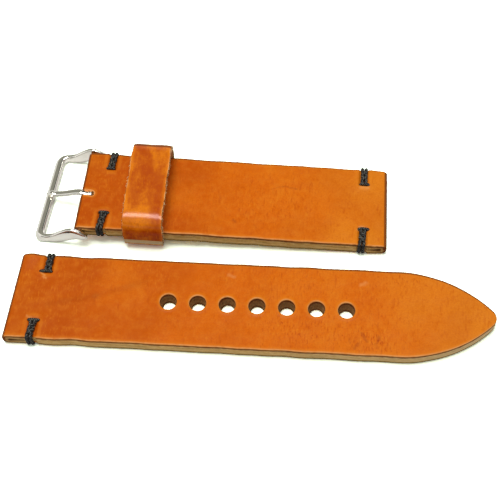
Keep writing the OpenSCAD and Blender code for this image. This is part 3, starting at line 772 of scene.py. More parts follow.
def rings_along(path, side, outline, turn=0.0, scale=1.0):
    """A profile carried along a path: each ring stands square to the path, with its first axis as near
    to side as it can lie. Outline is (points, 2) or (stations, points, 2), and turn and scale may
    change along the path."""
    step = np.gradient(path, axis=0)
    step /= np.linalg.norm(step, axis=1, keepdims=True)
    first = side - (step * side).sum(1, keepdims=True) * step
    first /= np.linalg.norm(first, axis=1, keepdims=True)
    second = np.cross(step, first)
    outline = np.broadcast_to(outline, (len(path),) + np.shape(outline)[-2:])
    turn = np.broadcast_to(turn, len(path))[:, None]
    u = (outline[..., 0] * np.cos(turn) - outline[..., 1] * np.sin(turn)) * np.reshape(scale, (-1, 1))
    v = (outline[..., 0] * np.sin(turn) + outline[..., 1] * np.cos(turn)) * np.reshape(scale, (-1, 1))
    return path[:, None] + u[..., None] * first[:, None] + v[..., None] * second[:, None]


def capped(rings):
    """The rings with a point at each end, so that the tube is closed."""
    start = np.broadcast_to(rings[0].mean(0), rings[0].shape)
    end = np.broadcast_to(rings[-1].mean(0), rings[-1].shape)
    return np.concatenate([start[None], rings, end[None]])


def run_length(line):
    """The distance along a line of points up to each of them."""
    return np.concatenate([[0], np.cumsum(np.linalg.norm(np.diff(line, axis=0), axis=1))])


def even_path(points, step):
    """Points about a step apart along a line through the given points."""
    length = run_length(points)
    count = max(8, int(length[-1] / step))
    at = np.linspace(0, length[-1], count + 1)
    return np.stack([np.interp(at, length, points[:, k]) for k in range(3)], -1)


def turn_path(y0, y1, z0, z1, radius, corner_steps=8):
    """One turn of thread seen along the strap: a rectangle with rounded corners, from its inner
    upper corner over the top, down the edge and back below, closed."""
    a = np.linspace(0, np.pi / 2, corner_steps + 1)
    corners = [(y0 + radius, z1 - radius, np.pi), (y1 - radius, z1 - radius, np.pi / 2),
               (y1 - radius, z0 + radius, 0.0), (y0 + radius, z0 + radius, -np.pi / 2)]
    runs = [np.stack([0 * a, y + radius * np.cos(start - a), z + radius * np.sin(start - a)], -1)
            for y, z, start in corners]
    points = np.concatenate(runs)
    return np.concatenate([points, points[:1]])


def thread_sheet(path, side, radius, twist_length, closed=True):
    """A waxed thread along a path, its plies turning once in about each twist length. Its section is
    a circle with a soft lobe for each ply: the radius swells with the cosine of the angle times
    half the number of plies, without its sign."""
    run = run_length(path)
    turns = max(1, round(run[-1] / twist_length * PLIES)) / PLIES
    a = 2 * np.pi * np.arange(THREAD_POINTS) / THREAD_POINTS
    lobe = np.abs(np.cos(PLIES * a / 2))
    swollen = radius * (0.84 + 0.16 * lobe)
    outline = pairs(swollen * np.cos(a), swollen * np.sin(a))
    rings = rings_along(path, side, outline, 2 * np.pi * turns * run / run[-1])
    rings = rings[:-1] if closed else capped(rings)
    return Sheet(rings, grid_quads(*rings.shape[:2], wrap_rows=closed, wrap_columns=True),
                 lobe=lobe + 0 * rings[..., 0])


def hair_sheet(roots, aims, lengths, radius, seed):
    """Loose fibres: thin four-sided tubes that leave their roots along their aims and curl,
    each by its own amount, thinning to a point."""
    draw = np.random.default_rng(seed)
    count, rings = len(roots), 6
    share = np.linspace(0, 1, rings)[None, :, None]
    bend = draw.normal(0, 1, (count, 1, 3)) * 0.45
    line = roots[:, None] + lengths[:, None, None] * (aims[:, None] * share + bend * share ** 2)
    step = np.gradient(line, axis=1)
    step /= np.linalg.norm(step, axis=2, keepdims=True)
    reference = np.where(np.abs(step[..., :1]) > 0.8, (0.0, 1.0, 0.0), (1.0, 0.0, 0.0))
    first = np.cross(step, reference)
    first /= np.linalg.norm(first, axis=2, keepdims=True)
    second = np.cross(step, first)
    a = np.pi / 2 * np.arange(4)
    thick = radius * (1 - share ** 2) * draw.uniform(0.6, 1.3, (count, 1, 1))
    ring = line[:, :, None] + thick[..., None] * (np.cos(a)[:, None] * first[:, :, None]
                                                   + np.sin(a)[:, None] * second[:, :, None])
    base = np.broadcast_to(roots[:, None, None], (count, 1, 4, 3))
    ring = np.concatenate([base, ring], 1)
    quads = grid_quads(rings + 1, 4, wrap_columns=True)
    numbers = quads[None] + (np.arange(count) * (rings + 1) * 4)[:, None, None]
    return Sheet(ring.reshape(-1, 3), numbers.reshape(-1, 4))


# Materials

class Wiring:
    """A new material's node tree, with short calls for the nodes that the finishes use."""

    def __init__(self, name):
        self.material = bpy.data.materials.new(name)
        self.material.use_nodes = True
        self.nodes = self.material.node_tree.nodes
        self.links = self.material.node_tree.links
        self.shader = self.nodes["Principled BSDF"]
        self.place = self.nodes.new("ShaderNodeTexCoord").outputs["Object"]

    def put(self, socket, value):
        """Links a socket's value, or sets it."""
        if isinstance(value, bpy.types.NodeSocket):
            self.links.new(value, socket)
        else:
            socket.default_value = value

    def node(self, kind, inputs, **properties):
        """A new node of that kind, its inputs linked or set."""
        node = self.nodes.new("ShaderNode" + kind)
        for key, value in properties.items():
            setattr(node, key, value)
        for key, value in inputs.items():
            self.put(node.inputs[key], value)
        return node

    def attribute(self, name):
        """The piece's own value of that name."""
        return self.node("Attribute", {}, attribute_name=name).outputs["Fac"]

    def stretched(self, scale, turn=(0.0, 0.0, 0.0)):
        """Object coordinates, stretched and turned."""
        return self.node("Mapping", {"Vector": self.place, "Scale": scale, "Rotation": turn}).outputs[0]

    def noise(self, length, detail=3.0, rough=0.5, distort=0.0, vector=None):
        """Noise with features of about that length in metres, 0 to 1."""
        return self.node("TexNoise", {"Vector": vector or self.place, "Scale": 1.0 / length,
                                      "Detail": detail, "Roughness": rough,
                                      "Distortion": distort}).outputs["Fac"]

    def wander(self, length):
        """A soft random vector, about -0.5 to 0.5 each way, that changes over that length."""
        node = self.node("TexNoise", {"Vector": self.place, "Scale": 1.0 / length})
        return self.vector("SUBTRACT", node.outputs["Color"], (0.5, 0.5, 0.5))

    def cells(self, length):
        """Distance to the centres of cells of about that size."""
        return self.node("TexVoronoi", {"Vector": self.place, "Scale": 1.0 / length}).outputs["Distance"]

    def math(self, operation, a, b, clamp=False):
        """Arithmetic of two values."""
        return self.node("Math", {0: a, 1: b}, operation=operation, use_clamp=clamp).outputs[0]

    def times(self, a, b):
        """The product of two values."""
        return self.math("MULTIPLY", a, b)

    def plus(self, a, b):
        """The sum of two values."""
        return self.math("ADD", a, b)

    def between(self, value, low, high, to_low=0.0, to_high=1.0):
        """The value from low to high, eased to run from to_low to to_high."""
        return self.node("MapRange", {"Value": value, "From Min": low, "From Max": high,
                                      "To Min": to_low, "To Max": to_high},
                         interpolation_type="SMOOTHSTEP").outputs["Result"]

    def blend(self, share, a, b):
        """Colour a where share is 0, and b where it is 1."""
        return self.node("Mix", {0: share, 6: a, 7: b}, data_type="RGBA").outputs[2]

    def layered(self, colour, *layers):
        """A colour with others blended over it in turn. A layer is a value, its low and high, the
        layer's share at each of them, and its colour."""
        for value, low, high, at_low, at_high, over in layers:
            colour = self.blend(self.between(value, low, high, at_low, at_high), colour, opaque(over))
        return colour

    def bump(self, height, distance, strength):
        """A bump of that height in metres."""
        return self.node("Bump", {"Height": height, "Distance": distance,
                                  "Strength": strength}).outputs["Normal"]

    def vector(self, operation, a, b, output=0):
        """Arithmetic of two vectors, or of a vector and a number to scale it by."""
        second = "Scale" if operation == "SCALE" else 1
        return self.node("VectorMath", {0: a, second: b}, operation=operation).outputs[output]

    def stroke(self, place, start, end, width):
        """1 on a straight stroke seen from above, falling to 0 at its width: the distance to the
        nearest point of the line from start to end."""
        line = Vector((end[0] - start[0], end[1] - start[1], 0.0))
        offset = self.vector("SUBTRACT", place, (start[0], start[1], 0.0))
        along = self.vector("DOT_PRODUCT", offset, tuple(line / line.length_squared), 1)
        foot = self.vector("SCALE", tuple(line), self.math("ADD", along, 0.0, clamp=True))
        return self.between(self.vector("DISTANCE", offset, foot, 1), 0.0, width, 1.0, 0.0)

    def use_shader(self, kind):
        """Puts a shader of another kind in the first one's place."""
        self.nodes.remove(self.shader)
        self.shader = self.nodes.new(kind)
        self.links.new(self.shader.outputs[0], self.nodes["Material Output"].inputs["Surface"])

    def surface(self, **sockets):
        """Sets or links the shader's sockets; an underscore stands for a space."""
        for key, value in sockets.items():
            self.put(self.shader.inputs[key.replace("_", " ")], value)
        return self.material


def opaque(colour):
    """A property colour with full alpha."""
    return (*colour, 1.0)


class Leather(Wiring):
    """Smooth tanned leather. Dyes are its deep, plain and light colour. Cloud is the size of the
    dye's clouds and grain_run how far they run across the strap."""

    def __init__(self, name, dyes, colours, cloud, grain_run):
        super().__init__(name)
        self.deep, self.plain, self.light = dyes
        self.colours = colours
        self.clouds = self.noise(cloud, 4.0, 0.55, 0.3, self.stretched((1.0, grain_run, grain_run)))
        self.mottle = self.noise(0.0019, 5.0, 0.62)
        self.streaks = self.noise(0.0011, 4.0, 0.6, 0.2, self.stretched((1.0, 0.22, 1.0), (0, 0, -0.6)))
        self.fibres = self.noise(0.00055, 5.0, 0.7, 0.3, self.stretched((0.35, 1.0, 1.3)))

    def dyed_face(self, clouding):
        """The colour of the face: its tone (dye on the strap parts, painted light and shade on the
        keeper), clouds as strong as clouding, mottle, fine grain, streaks and scuffs.
        """
        deep, light, mottle = self.deep, self.light, self.mottle
        grain = self.noise(0.00045, 3.0, 0.6)
        scuffs = self.noise(0.0014, 3.0, 0.5, 0.0, self.stretched((0.16, 1.0, 1.0), (0, 0, 0.75)))
        tone = self.attribute("tone")
        return self.layered(
            opaque(deep),
            (tone, 0.0, 0.5, 0.0, 1.0, self.plain), (tone, 0.5, 1.0, 0.0, 1.0, light),
            (self.clouds, 0.35, 0.62, clouding, 0.0, deep),
            (self.clouds, 0.50, 0.72, 0.0, clouding, light),
            (mottle, 0.40, 0.75, 0.0, 0.32, light), (mottle, 0.25, 0.45, 0.30, 0.0, deep),
            (grain, 0.35, 0.65, 0.25, 0.0, deep), (self.streaks, 0.58, 0.72, 0.0, 0.45, deep),
            (scuffs, 0.66, 0.78, 0.0, 0.15, light))

    def creased(self, face):
        """Fine creases across the face, each with a painted shaded side and a painted highlit side, in
        soft patches and more strongly along the creased stretches."""
        creases = self.noise(0.00042, 3.0, 0.55, 0.4, self.stretched((1.0, 0.30, 0.30), (0, 0, 0.12)))
        level = self.vector("MULTIPLY", self.place, (1.0, 1.0, 0.0))
        amount = self.between(self.noise(0.012, 2.0, 0.5), 0.42, 0.62, 0.25, 1.0)
        for x0, y0, x1, y1, width, strength in CREASED:
            worked = self.stroke(level, (x0 * MM, y0 * MM), (x1 * MM, y1 * MM), width * MM)
            amount = self.plus(amount, self.times(worked, strength))
        # Painted shade and painted highlight on the two sides of each crease
        for low, high, at_low, at_high, colour in ((0.30, 0.47, 0.45, 0.0, self.deep),
                                                   (0.55, 0.70, 0.0, 0.32, self.light)):
            share = self.times(self.between(creases, low, high, at_low, at_high), amount)
            face = self.blend(share, face, opaque(colour))
        return face

    def marked(self, face, marks):
        """The strokes over the face, their edges shaken by soft noise."""
        shaken = self.vector("SCALE", self.wander(0.0011), 0.0009)
        level = self.vector("MULTIPLY", self.vector("ADD", self.place, shaken), (1.0, 1.0, 0.0))
        for x0, y0, x1, y1, width, strength in marks:
            mark = self.stroke(level, (x0 * MM, y0 * MM), (x1 * MM, y1 * MM), width * MM)
            colour = self.colours.mark if strength > 0 else self.colours.worn_and_sheen
            face = self.blend(self.times(mark, abs(strength)), face, opaque(colour))
        return face

    def edged(self, face, wear_and_sheen_range):
        """The face with its light rim, partly rubbed dye and partly painted highlight, broken up where
        the mottle lies within the given range, the pull of the stitches, and the dark lines: burnished
        edges with painted shade on the fold noses, and painted shade along the outline."""
        rim, burnish_and_shade = self.attribute("rim"), self.colours.burnish_and_shade
        # Light rim along the edges: partly rubbed dye, partly painted highlight on the edge rounding
        face = self.layered(face, (rim, 0.0003, 0.0012, 0.4, 0.0, self.light))
        rim_wear_and_sheen = self.times(self.between(rim, 0.0001, 0.00042, 1.0, 0.0),
                          self.between(self.mottle, *wear_and_sheen_range))
        return self.layered(self.blend(rim_wear_and_sheen, face, opaque(self.colours.worn_and_sheen)),
                            (self.attribute("pull"), 0.35, 1.0, 0.0, 0.3, self.light),
                            # Fold noses, below full height: burnished edge and painted shade
                            (self.attribute("height"), 0.0031, 0.0038, 0.9, 0.0, burnish_and_shade),
                            # Painted shade along the outline
                            (self.attribute("outline"), 0.05, 0.75, 0.0, 0.85, burnish_and_shade))

    def cut_side(self):
        """The cut side: layers of open fibres, a lighter band, an olive foot that is painted contact
        shadow, and dye that has run in at the top to an uneven depth. The hollows and the outline are
        painted over in shade."""
        colours, fibres, depth = self.colours, self.fibres, self.attribute("depth")
        strata = self.noise(0.0007, 3.0, 0.6, 0.2, self.stretched((0.12, 0.5, 2.0)))
        side = self.layered(opaque(colours.raw), (fibres, 0.38, 0.60, 0.0, 1.0, colours.raw_light),
                            (strata, 0.48, 0.66, 0.0, 0.75, colours.raw_deep),
                            (depth, 0.0019, 0.0026, 0.0, 0.55, colours.raw_light))
        uneven = self.times(self.math("SUBTRACT", self.mottle, 0.5), 0.0009)
        # Pale fluff where the share is set: paler raw side on the tail, painted reflection of the table
        # on the keeper's foot
        side = self.layered(self.blend(self.attribute("paleness_and_reflection"), side, opaque(colours.fluff)),
                            # Painted contact shadow along the foot of the cut side
                            (depth, 0.0028, 0.0033, 0.0, 0.9, colours.foot_shadow),
                            (fibres, 0.62, 0.70, 0.0, 0.8, colours.fluff),
                            (self.plus(depth, uneven), 0.0006, 0.0011, 0.92, 0.0,
                             colours.burnish_and_shade))
        # Painted shade: the hollows (tunnels, slot and hole walls) and the outline take the dark edge
        # colour
        for painted_shade in ("hollow", "outline"):
            side = self.blend(self.attribute(painted_shade), side, opaque(colours.burnish_and_shade))
        return side

    def relief(self, cut, under):
        """The bump: pores, mottle and streaks on the face, and open fibres where the leather is raw."""
        height = self.plus(self.times(self.cells(0.00035), 0.35), self.mottle)
        height = self.math("SUBTRACT", height, self.between(self.streaks, 0.58, 0.75, 0.0, 0.6))
        raw = self.times(self.math("MAXIMUM", self.between(cut, 0.4, 0.9), under),
                        self.times(self.fibres, 3.5))
        return self.bump(self.plus(height, raw), 0.00005, 0.8)

    def finished(self, clouding, gloss, shine, marks=(), wear_and_sheen_range=(0.3, 0.6, 0.45, 1.0), wax=0.0):
        """The whole material. Gloss is the mean roughness, shine the specular level and wax the
        weight of a coat, which the dull places lack."""
        cut, under, raw = self.attribute("cut"), self.attribute("under"), self.colours.raw
        face = self.creased(self.dyed_face(clouding))
        face = self.edged(self.marked(face, marks) if marks else face, wear_and_sheen_range)
        back = self.layered(opaque(raw), (self.fibres, 0.3, 0.7, 0.0, 1.0, self.colours.raw_light))
        # Pale fluff on the back: paler raw leather on the tail, painted reflection of the table on the
        # keeper's foot
        back = self.blend(self.attribute("paleness_and_reflection"), back, opaque(self.colours.fluff))
        colour = self.blend(self.between(under, 0.4, 0.6), face, back)
        colour = self.blend(self.between(cut, 0.30, 0.75), colour, self.cut_side())
        rough = self.plus(self.between(self.mottle, 0.3, 0.7, gloss - 0.06, gloss + 0.06),
                          self.between(cut, 0.4, 0.9, 0.0, 0.35))
        coat = {"Coat_Weight": self.between(self.attribute("dull"), 0.0, 1.0, wax, 0.0),
                "Coat_Roughness": gloss} if wax else {}
        return self.surface(Base_Color=colour, Roughness=rough, Normal=self.relief(cut, under),
                            Specular_IOR_Level=shine, **coat)


def strap_leather(colours):
    """The leather of the two strap parts, made once."""
    return bpy.data.materials.get("strap_tan") or Leather(
        "strap_tan", (colours.grain_deep, colours.grain, colours.grain_light), colours,
        cloud=14 * MM, grain_run=0.7).finished(clouding=0.30, gloss=0.42, shine=0.045, marks=MARKS)


def keeper_leather(colours):
    """The thinner, glossier leather of the keeper."""
    # Its deep and light colours also carry the painted shade of the walls and the painted light round
    # the upper bends
    return Leather("keeper_tan", (colours.keeper_deep_and_shaded, colours.keeper, colours.keeper_golden_and_lit), colours,
                   cloud=4 * MM, grain_run=0.40).finished(
                       clouding=0.85, gloss=0.22, shine=0.02, wear_and_sheen_range=(0.44, 0.56, 0.0, 1.0), wax=0.42)


def thread_material(colours):
    """Dark waxed thread: a glint is painted on each ply's crown, with fine fibres along the twist. It is
    made once."""
    if "waxed_thread" in bpy.data.materials:
        return bpy.data.materials["waxed_thread"]
    w = Wiring("waxed_thread")
    lobe = w.attribute("lobe")
    fuzz = w.noise(0.00016, 4.0, 0.7)
    wax = w.noise(0.0009, 3.0, 0.6)
    # Painted glint: the crowns of the plies take the light thread colour
    crown = w.times(w.between(lobe, 0.70, 1.0), w.between(wax, 0.42, 0.66, 0.05, 1.0))
    colour = w.blend(crown, opaque(colours.thread), opaque(colours.thread_light))
    colour = w.blend(w.between(fuzz, 0.62, 0.8, 0.0, 0.25), colour, opaque(colours.thread_light))
    height = w.plus(w.times(lobe, 1.2), fuzz)
    return w.surface(Base_Color=colour, Roughness=w.between(wax, 0.3, 0.7, 0.38, 0.62),
                     Normal=w.bump(height, 0.00006, 0.9), Specular_IOR_Level=0.25)


def hair_material(colours):
    """Loose fibres of undyed leather."""
    w = Wiring("loose_fibre")
    tone = w.noise(0.0007, 2.0)
    colour = w.blend(w.between(tone, 0.3, 0.7), opaque(colours.raw_light), opaque(colours.fluff))
    return w.surface(Base_Color=colour, Roughness=w.between(tone, 0.2, 0.8, 0.6, 0.85),
                     Normal=w.bump(tone, 0.00002, 0.4))


def metal_material(colours):
    """Polished plating: a near mirror with faint handling marks and a slight orange peel."""
    w = Wiring("polished_metal")
    peel = w.noise(0.0011, 2.0, 0.5)
    marks = w.noise(0.0006, 4.0, 0.7, 0.0, w.stretched((0.2, 1.0, 1.0), (0.0, 0.0, 0.5)))
    smear = w.noise(0.004, 3.0, 0.6)
    tint = w.layered(opaque(colours.metal), (smear, 0.35, 0.75, 0.0, 0.35, colours.smear))
    gloss = w.plus(w.between(smear, 0.3, 0.8, 0.05, 0.13), w.between(marks, 0.66, 0.8, 0.0, 0.12))
    height = w.plus(peel, w.times(marks, 0.25))
    return w.surface(Base_Color=tint, Metallic=1.0, Roughness=gloss,
                     Normal=w.bump(height, 0.00002, 0.35))


# Building each piece

def tail_stations(strap, sewing, places):
    """Stations of the tail part from its nose to its tip, finer at its stitches and holes."""
    radius, half, length = places.radius, places.width / 2, places.tail_length
    flank_x, tip_x = length - strap.taper, length - strap.tip_radius
    flank_radius = ((strap.taper - strap.tip_radius) ** 2 + half ** 2 - strap.tip_radius ** 2) \
        / (2 * (half - strap.tip_radius))
    meet = math.asin((tip_x - flank_x) / (flank_radius - strap.tip_radius))
    first = strap.hole_start - strap.hole_pitch / 2
    last = strap.hole_start + (strap.hole_count - 0.5) * strap.hole_pitch
    sewn_from = min(sewing.tail_far, sewing.tail_near) - SEWN_REACH
    sewn_to = max(sewing.tail_far, sewing.tail_near) + SEWN_REACH
    x = np.concatenate([spread(radius, sewn_from, FOLD_SPACING),
                        spread(sewn_from, sewn_to, SEWN_SPACING), spread(sewn_to, first, OPEN_SPACING),
                        spread(first, last, strap.hole_pitch / BLOCK_STEPS),
                        spread(last, flank_x, OPEN_SPACING)])
    return Stations.chain(
        Stations.fold(0.0, 1, half, radius), Stations.straight(x, half, strap.thickness),
        Stations.arc(flank_x, half - flank_radius, flank_radius, 0, meet, 56, strap.thickness),
        Stations.arc(tip_x, 0.0, strap.tip_radius, meet, np.pi / 2, 16, strap.thickness))


def build_tail_part(strap, sewing, places):
    """The tail part as one closed mesh."""
    half, radius, block = places.width / 2, places.radius, strap.hole_pitch / 2
    stations = tail_stations(strap, sewing, places)
    centres = strap.hole_start + strap.hole_pitch * np.arange(strap.hole_count)
    folds = [(0.0, 1, strap.tunnel / 2, strap.slit, strap.slit_height)]
    depth = hollow_depths(stations, folds, radius)
    skin = skin_sheet(stations, across_rows(strap, sewing, half), depth, strap.edge_round, half, radius,
                      centres[0] - block, centres[-1] + block, block)
    tunnel = hollow_sheet(stations, depth, radius, np.linspace(half, -half, 9))
    stitches = [(sewing.tail_far, 1.0), (sewing.tail_near, -1.0)]
    part = LeatherPart([skin, *hole_sheets(centres, strap), tunnel], stations, strap, sewing, stitches,
                       half, places.tail_length, folds)
    part.press_stitches()
    part.seam_groove()
    part.raise_rims(centres, strap.hole / 2)
    part.wear(11)
    part.far_outline((0.9, 0.75))
    # The raw side and back grow paler towards the tip
    part.values["paleness_and_reflection"] = np.interp(part.points[:, 0] / MM, (0, 60, 100, 122), (0.10, 0.15, 0.40, 0.75))
    lug_slants(part.points, part.values, half, strap.lug_slant)
    return part


def build_buckle_part(strap, sewing, buckle, places):
    """The buckle part as one closed mesh, still straight and level. The rim of the tongue's slot takes
    the light rim, partly wear and partly painted highlight, and the upper part of its wall takes the
    face's colour instead of the raw side's."""
    half, radius, length = places.width / 2, places.radius, places.short_length
    block, slot_block = strap.hole_pitch / 2, strap.hole_pitch
    lug_sewn = (sewing.lug - SEWN_REACH, sewing.lug + SEWN_REACH)
    end_sewn = (length - sewing.buckle - SEWN_REACH, length - sewing.buckle + SEWN_REACH)
    x = np.concatenate([spread(radius, lug_sewn[0], FOLD_SPACING), spread(*lug_sewn, SEWN_SPACING),
                        spread(lug_sewn[1], end_sewn[0], OPEN_SPACING),
                        spread(end_sewn[0], length - slot_block, SEWN_SPACING),
                        spread(length - slot_block, end_sewn[1], SEWN_SPACING),
                        spread(end_sewn[1], length - radius, FOLD_SPACING), [length - radius]])
    stations = Stations.chain(Stations.fold(0.0, 1, half, radius),
                              Stations.straight(x, half, strap.thickness),
                              Stations.fold(length, -1, half, radius).turned())
    folds = [(0.0, 1, strap.tunnel / 2, strap.slit, strap.slit_height),
             (length, -1, buckle.bar / 2 + buckle.play, strap.slit, strap.slit_height)]
    depth = hollow_depths(stations, folds, radius)
    skin = skin_sheet(stations, across_rows(strap, sewing, half), depth, strap.edge_round, half, radius,
                      length - slot_block, length + MM, block)
    tunnel = hollow_sheet(stations, depth, radius, np.linspace(half, -half, 9))
    back, back_depth = stations.turned(), depth[::-1]
    blind = strap.slot_width / 2 + 0.9 * MM
    bar_hollows = [hollow_sheet(back, back_depth, radius, side * np.linspace(half, blind, 7), blind=True)
                   for side in SIDES.values()]
    slot = slot_sheet(back, length, slot_block, strap)
    stitches = [(x, side) for x in (sewing.lug, length - sewing.buckle) for side in SIDES.values()]
    part = LeatherPart([skin, tunnel, *bar_hollows, slot], stations, strap, sewing, stitches,
                       half, length, folds)
    away = length - part.points[:, 0]
    past_centre = np.maximum(away - strap.slot_depth + strap.slot_width / 2, 0)
    from_slot = np.hypot(past_centre, part.points[:, 1])
    part.values["rim"] = np.minimum(part.values["rim"], np.maximum(from_slot - strap.slot_width / 2, 0))
    wall = (np.abs(part.points[:, 1]) < strap.slot_width / 2 + 0.3 * MM) & (part.values["under"] < 0.5)
    wall = wall * (1 - smooth(away, strap.slot_depth - 1.0 * MM, strap.slot_depth - 0.5 * MM))
    part.values["cut"] = part.values["cut"] * (1 - 0.8 * wall * (part.values["hollow"] < 0.5))
    part.values["height"] = np.maximum(part.values["height"], wall * strap.thickness)
    part.press_stitches()
    part.seam_groove()
    part.wear(31)
    part.far_outline((0.35, 0.9))
    slot_leans(part.points, length, radius, strap, buckle.tongue_near + strap.slot_near,
               places.skew + buckle.tongue_turn)
    bar_leans(part.points, part.values, length, places.fold_skew, places.skew - places.fold_skew)
    return part


def keeper_loop(keeper, places):
    """The keeper's inner line round the strap, its outward direction, and the leather's thickness
    along it: four straight runs and four bends, thicker at the lap joint underneath."""
    half = places.width / 2 + keeper.side_gap
    low, high = -keeper.under_gap, keeper.inner_height - keeper.under_gap
    bends = [(half - keeper.lower_bend, low + keeper.lower_bend, -np.pi / 2, keeper.lower_bend),
             (half - keeper.upper_bend, high - keeper.upper_bend, 0.0, keeper.upper_bend),
             (keeper.upper_bend - half, high - keeper.upper_bend, np.pi / 2, keeper.upper_bend),
             (keeper.lower_bend - half, low + keeper.lower_bend, np.pi, keeper.lower_bend)]
    a, arcs = np.linspace(0, np.pi / 2, 15), []
    for y, z, start, radius in bends:
        out = pairs(np.cos(start + a), np.sin(start + a))
        arcs.append(((y, z) + radius * out, out))
    lines, outs = [], []
    for (bend, out), (following, _), count in zip(arcs, arcs[1:] + arcs[:1], (16, 60, 16, 70)):
        share = np.linspace(0, 1, count + 1)[1:-1, None]
        lines += [bend, bend[-1] * (1 - share) + following[0] * share]
        outs += [out, np.broadcast_to(out[-1], (count - 1, 2))]
    line, out = np.concatenate(lines), np.concatenate(outs)
    below = line[:, 1] < low + 0.01 * MM
    lap_half = keeper.lap_length / 2
    lap = 1 - smooth(np.abs(line[:, 0]), lap_half - 0.2 * MM, lap_half + 0.2 * MM)
    thick = keeper.thickness + (keeper.lap - keeper.thickness) * np.where(below, lap, 0)
    return line, out, thick


def rounded_box_line(width, radius, along, up, bend_steps=5):
    """A rectangle from -width/2 to width/2 and from 0 to 1 with rounded corners, as fractions of the
    height with the radius kept true: gives the place along, the share of height and the true inset."""
    a = np.linspace(0, np.pi / 2, bend_steps + 1)
    side = width / 2
    x = np.linspace(-side + radius, side - radius, along + 1)[1:-1]
    h = np.linspace(0, 1, up + 1)[1:-1]
    quarter = [(side - radius, 0, -np.pi / 2), (side - radius, 1, 0.0), (radius - side, 1, np.pi / 2),
               (radius - side, 0, np.pi)]
    corner = [(cx + radius * np.cos(start + a), cy + 0 * a,
               radius * np.sin(start + a) + radius * (1 - 2 * cy)) for cx, cy, start in quarter]
    runs = [corner[0], (side + 0 * h, h, radius * (1 - 2 * h)), corner[1], (-x, 1 + 0 * x, 0 * x),
            corner[2], (-side + 0 * h, 1 - h, radius * (2 * h - 1)), corner[3], (x, 0 * x, 0 * x)]
    return (np.concatenate([r[k] for r in runs]) for k in range(3))


def keeper_sheet(keeper, places):
    """The keeper as a closed band: a rounded rectangle carried round the loop, its edges frayed and
    curled a little and its top slightly uneven. Its tone carries painted light in a bell-shaped band
    round the upper bends and painted shade down the walls, and its foot carries a painted reflection of
    the table in pale raw colours."""
    line, out, thick = keeper_loop(keeper, places)
    along, share, inset = rounded_box_line(keeper.width, keeper.edge_round, 26, 5)
    distance = thick[:, None] * share[None, :] + inset[None, :]
    yz = line[:, None] + out[:, None] * distance[..., None]
    run, outer, side = run_length(line), share > 0.5, np.sign(along)
    edge = smooth(np.abs(along), keeper.width / 2 - 1.2 * MM, keeper.width / 2)
    coarse, fine, slow = (unevenness(run, 0 * run, length * MM, seed)[:, None]
                          for length, seed in ((2.2, 51), (0.7, 52), (4, 54)))
    x = places.short_length - keeper.from_fold + along[None, :] \
        + (0.11 * MM * coarse + 0.05 * MM * fine) * side * edge
    crown = 0.10 * MM * unevenness(x, run[:, None], 5 * MM, 53) * outer
    curl = -0.16 * MM * edge * outer * (0.4 + 0.6 * slow)
    yz = yz + out[:, None] * (crown * 0.35 + curl)[..., None] * smooth(yz[..., 1:], 1 * MM, 4 * MM)
    cut = np.clip((np.abs(along) - keeper.width / 2 + keeper.edge_round) / keeper.edge_round, 0, 1)
    top = keeper.inner_height - keeper.under_gap + keeper.thickness
    level, down = yz[..., 1], np.abs(yz[..., 0]) / (places.width / 2 + keeper.thickness)
    # Painted light: a lighter band round the upper bends
    painted_bend_light = bell(level - top + 2.1 * MM, 1.35 * MM)
    # Painted shade down the walls
    wall = 1 - smooth(level, top - 4.2 * MM, top - 2.6 * MM)
    inner = 1.0 * (share < 0.5) * (cut < 0.5)
    # Painted reflection of the table: the foot takes pale raw colours
    foot = bell(level - 1.0 * MM, 0.8 * MM) * (down > 0.9) * outer
    # The far bend is painted darker in the colour of the burnished edges
    far_bend = smooth(yz[..., 0], places.width / 2 - 1.3 * MM, places.width / 2 - 0.5 * MM) * outer
    return Sheet(np.concatenate([x[..., None], yz], -1),
                 grid_quads(*x.shape, wrap_rows=True, wrap_columns=True),
                 cut=cut, depth=np.clip((1 - share) * 4 * MM, 0, 4 * MM), under=np.maximum(inner, foot),
                 hollow=0.0, rim=keeper.width / 2 - np.abs(along), pull=0.0, height=4 * MM,
                 tone=np.clip(0.42 + 0.58 * painted_bend_light - 0.13 * wall, 0, 1), outline=0.8 * far_bend,
                 dull=np.maximum(np.maximum(wall, inner), far_bend), paleness_and_reflection=0.9 * foot)


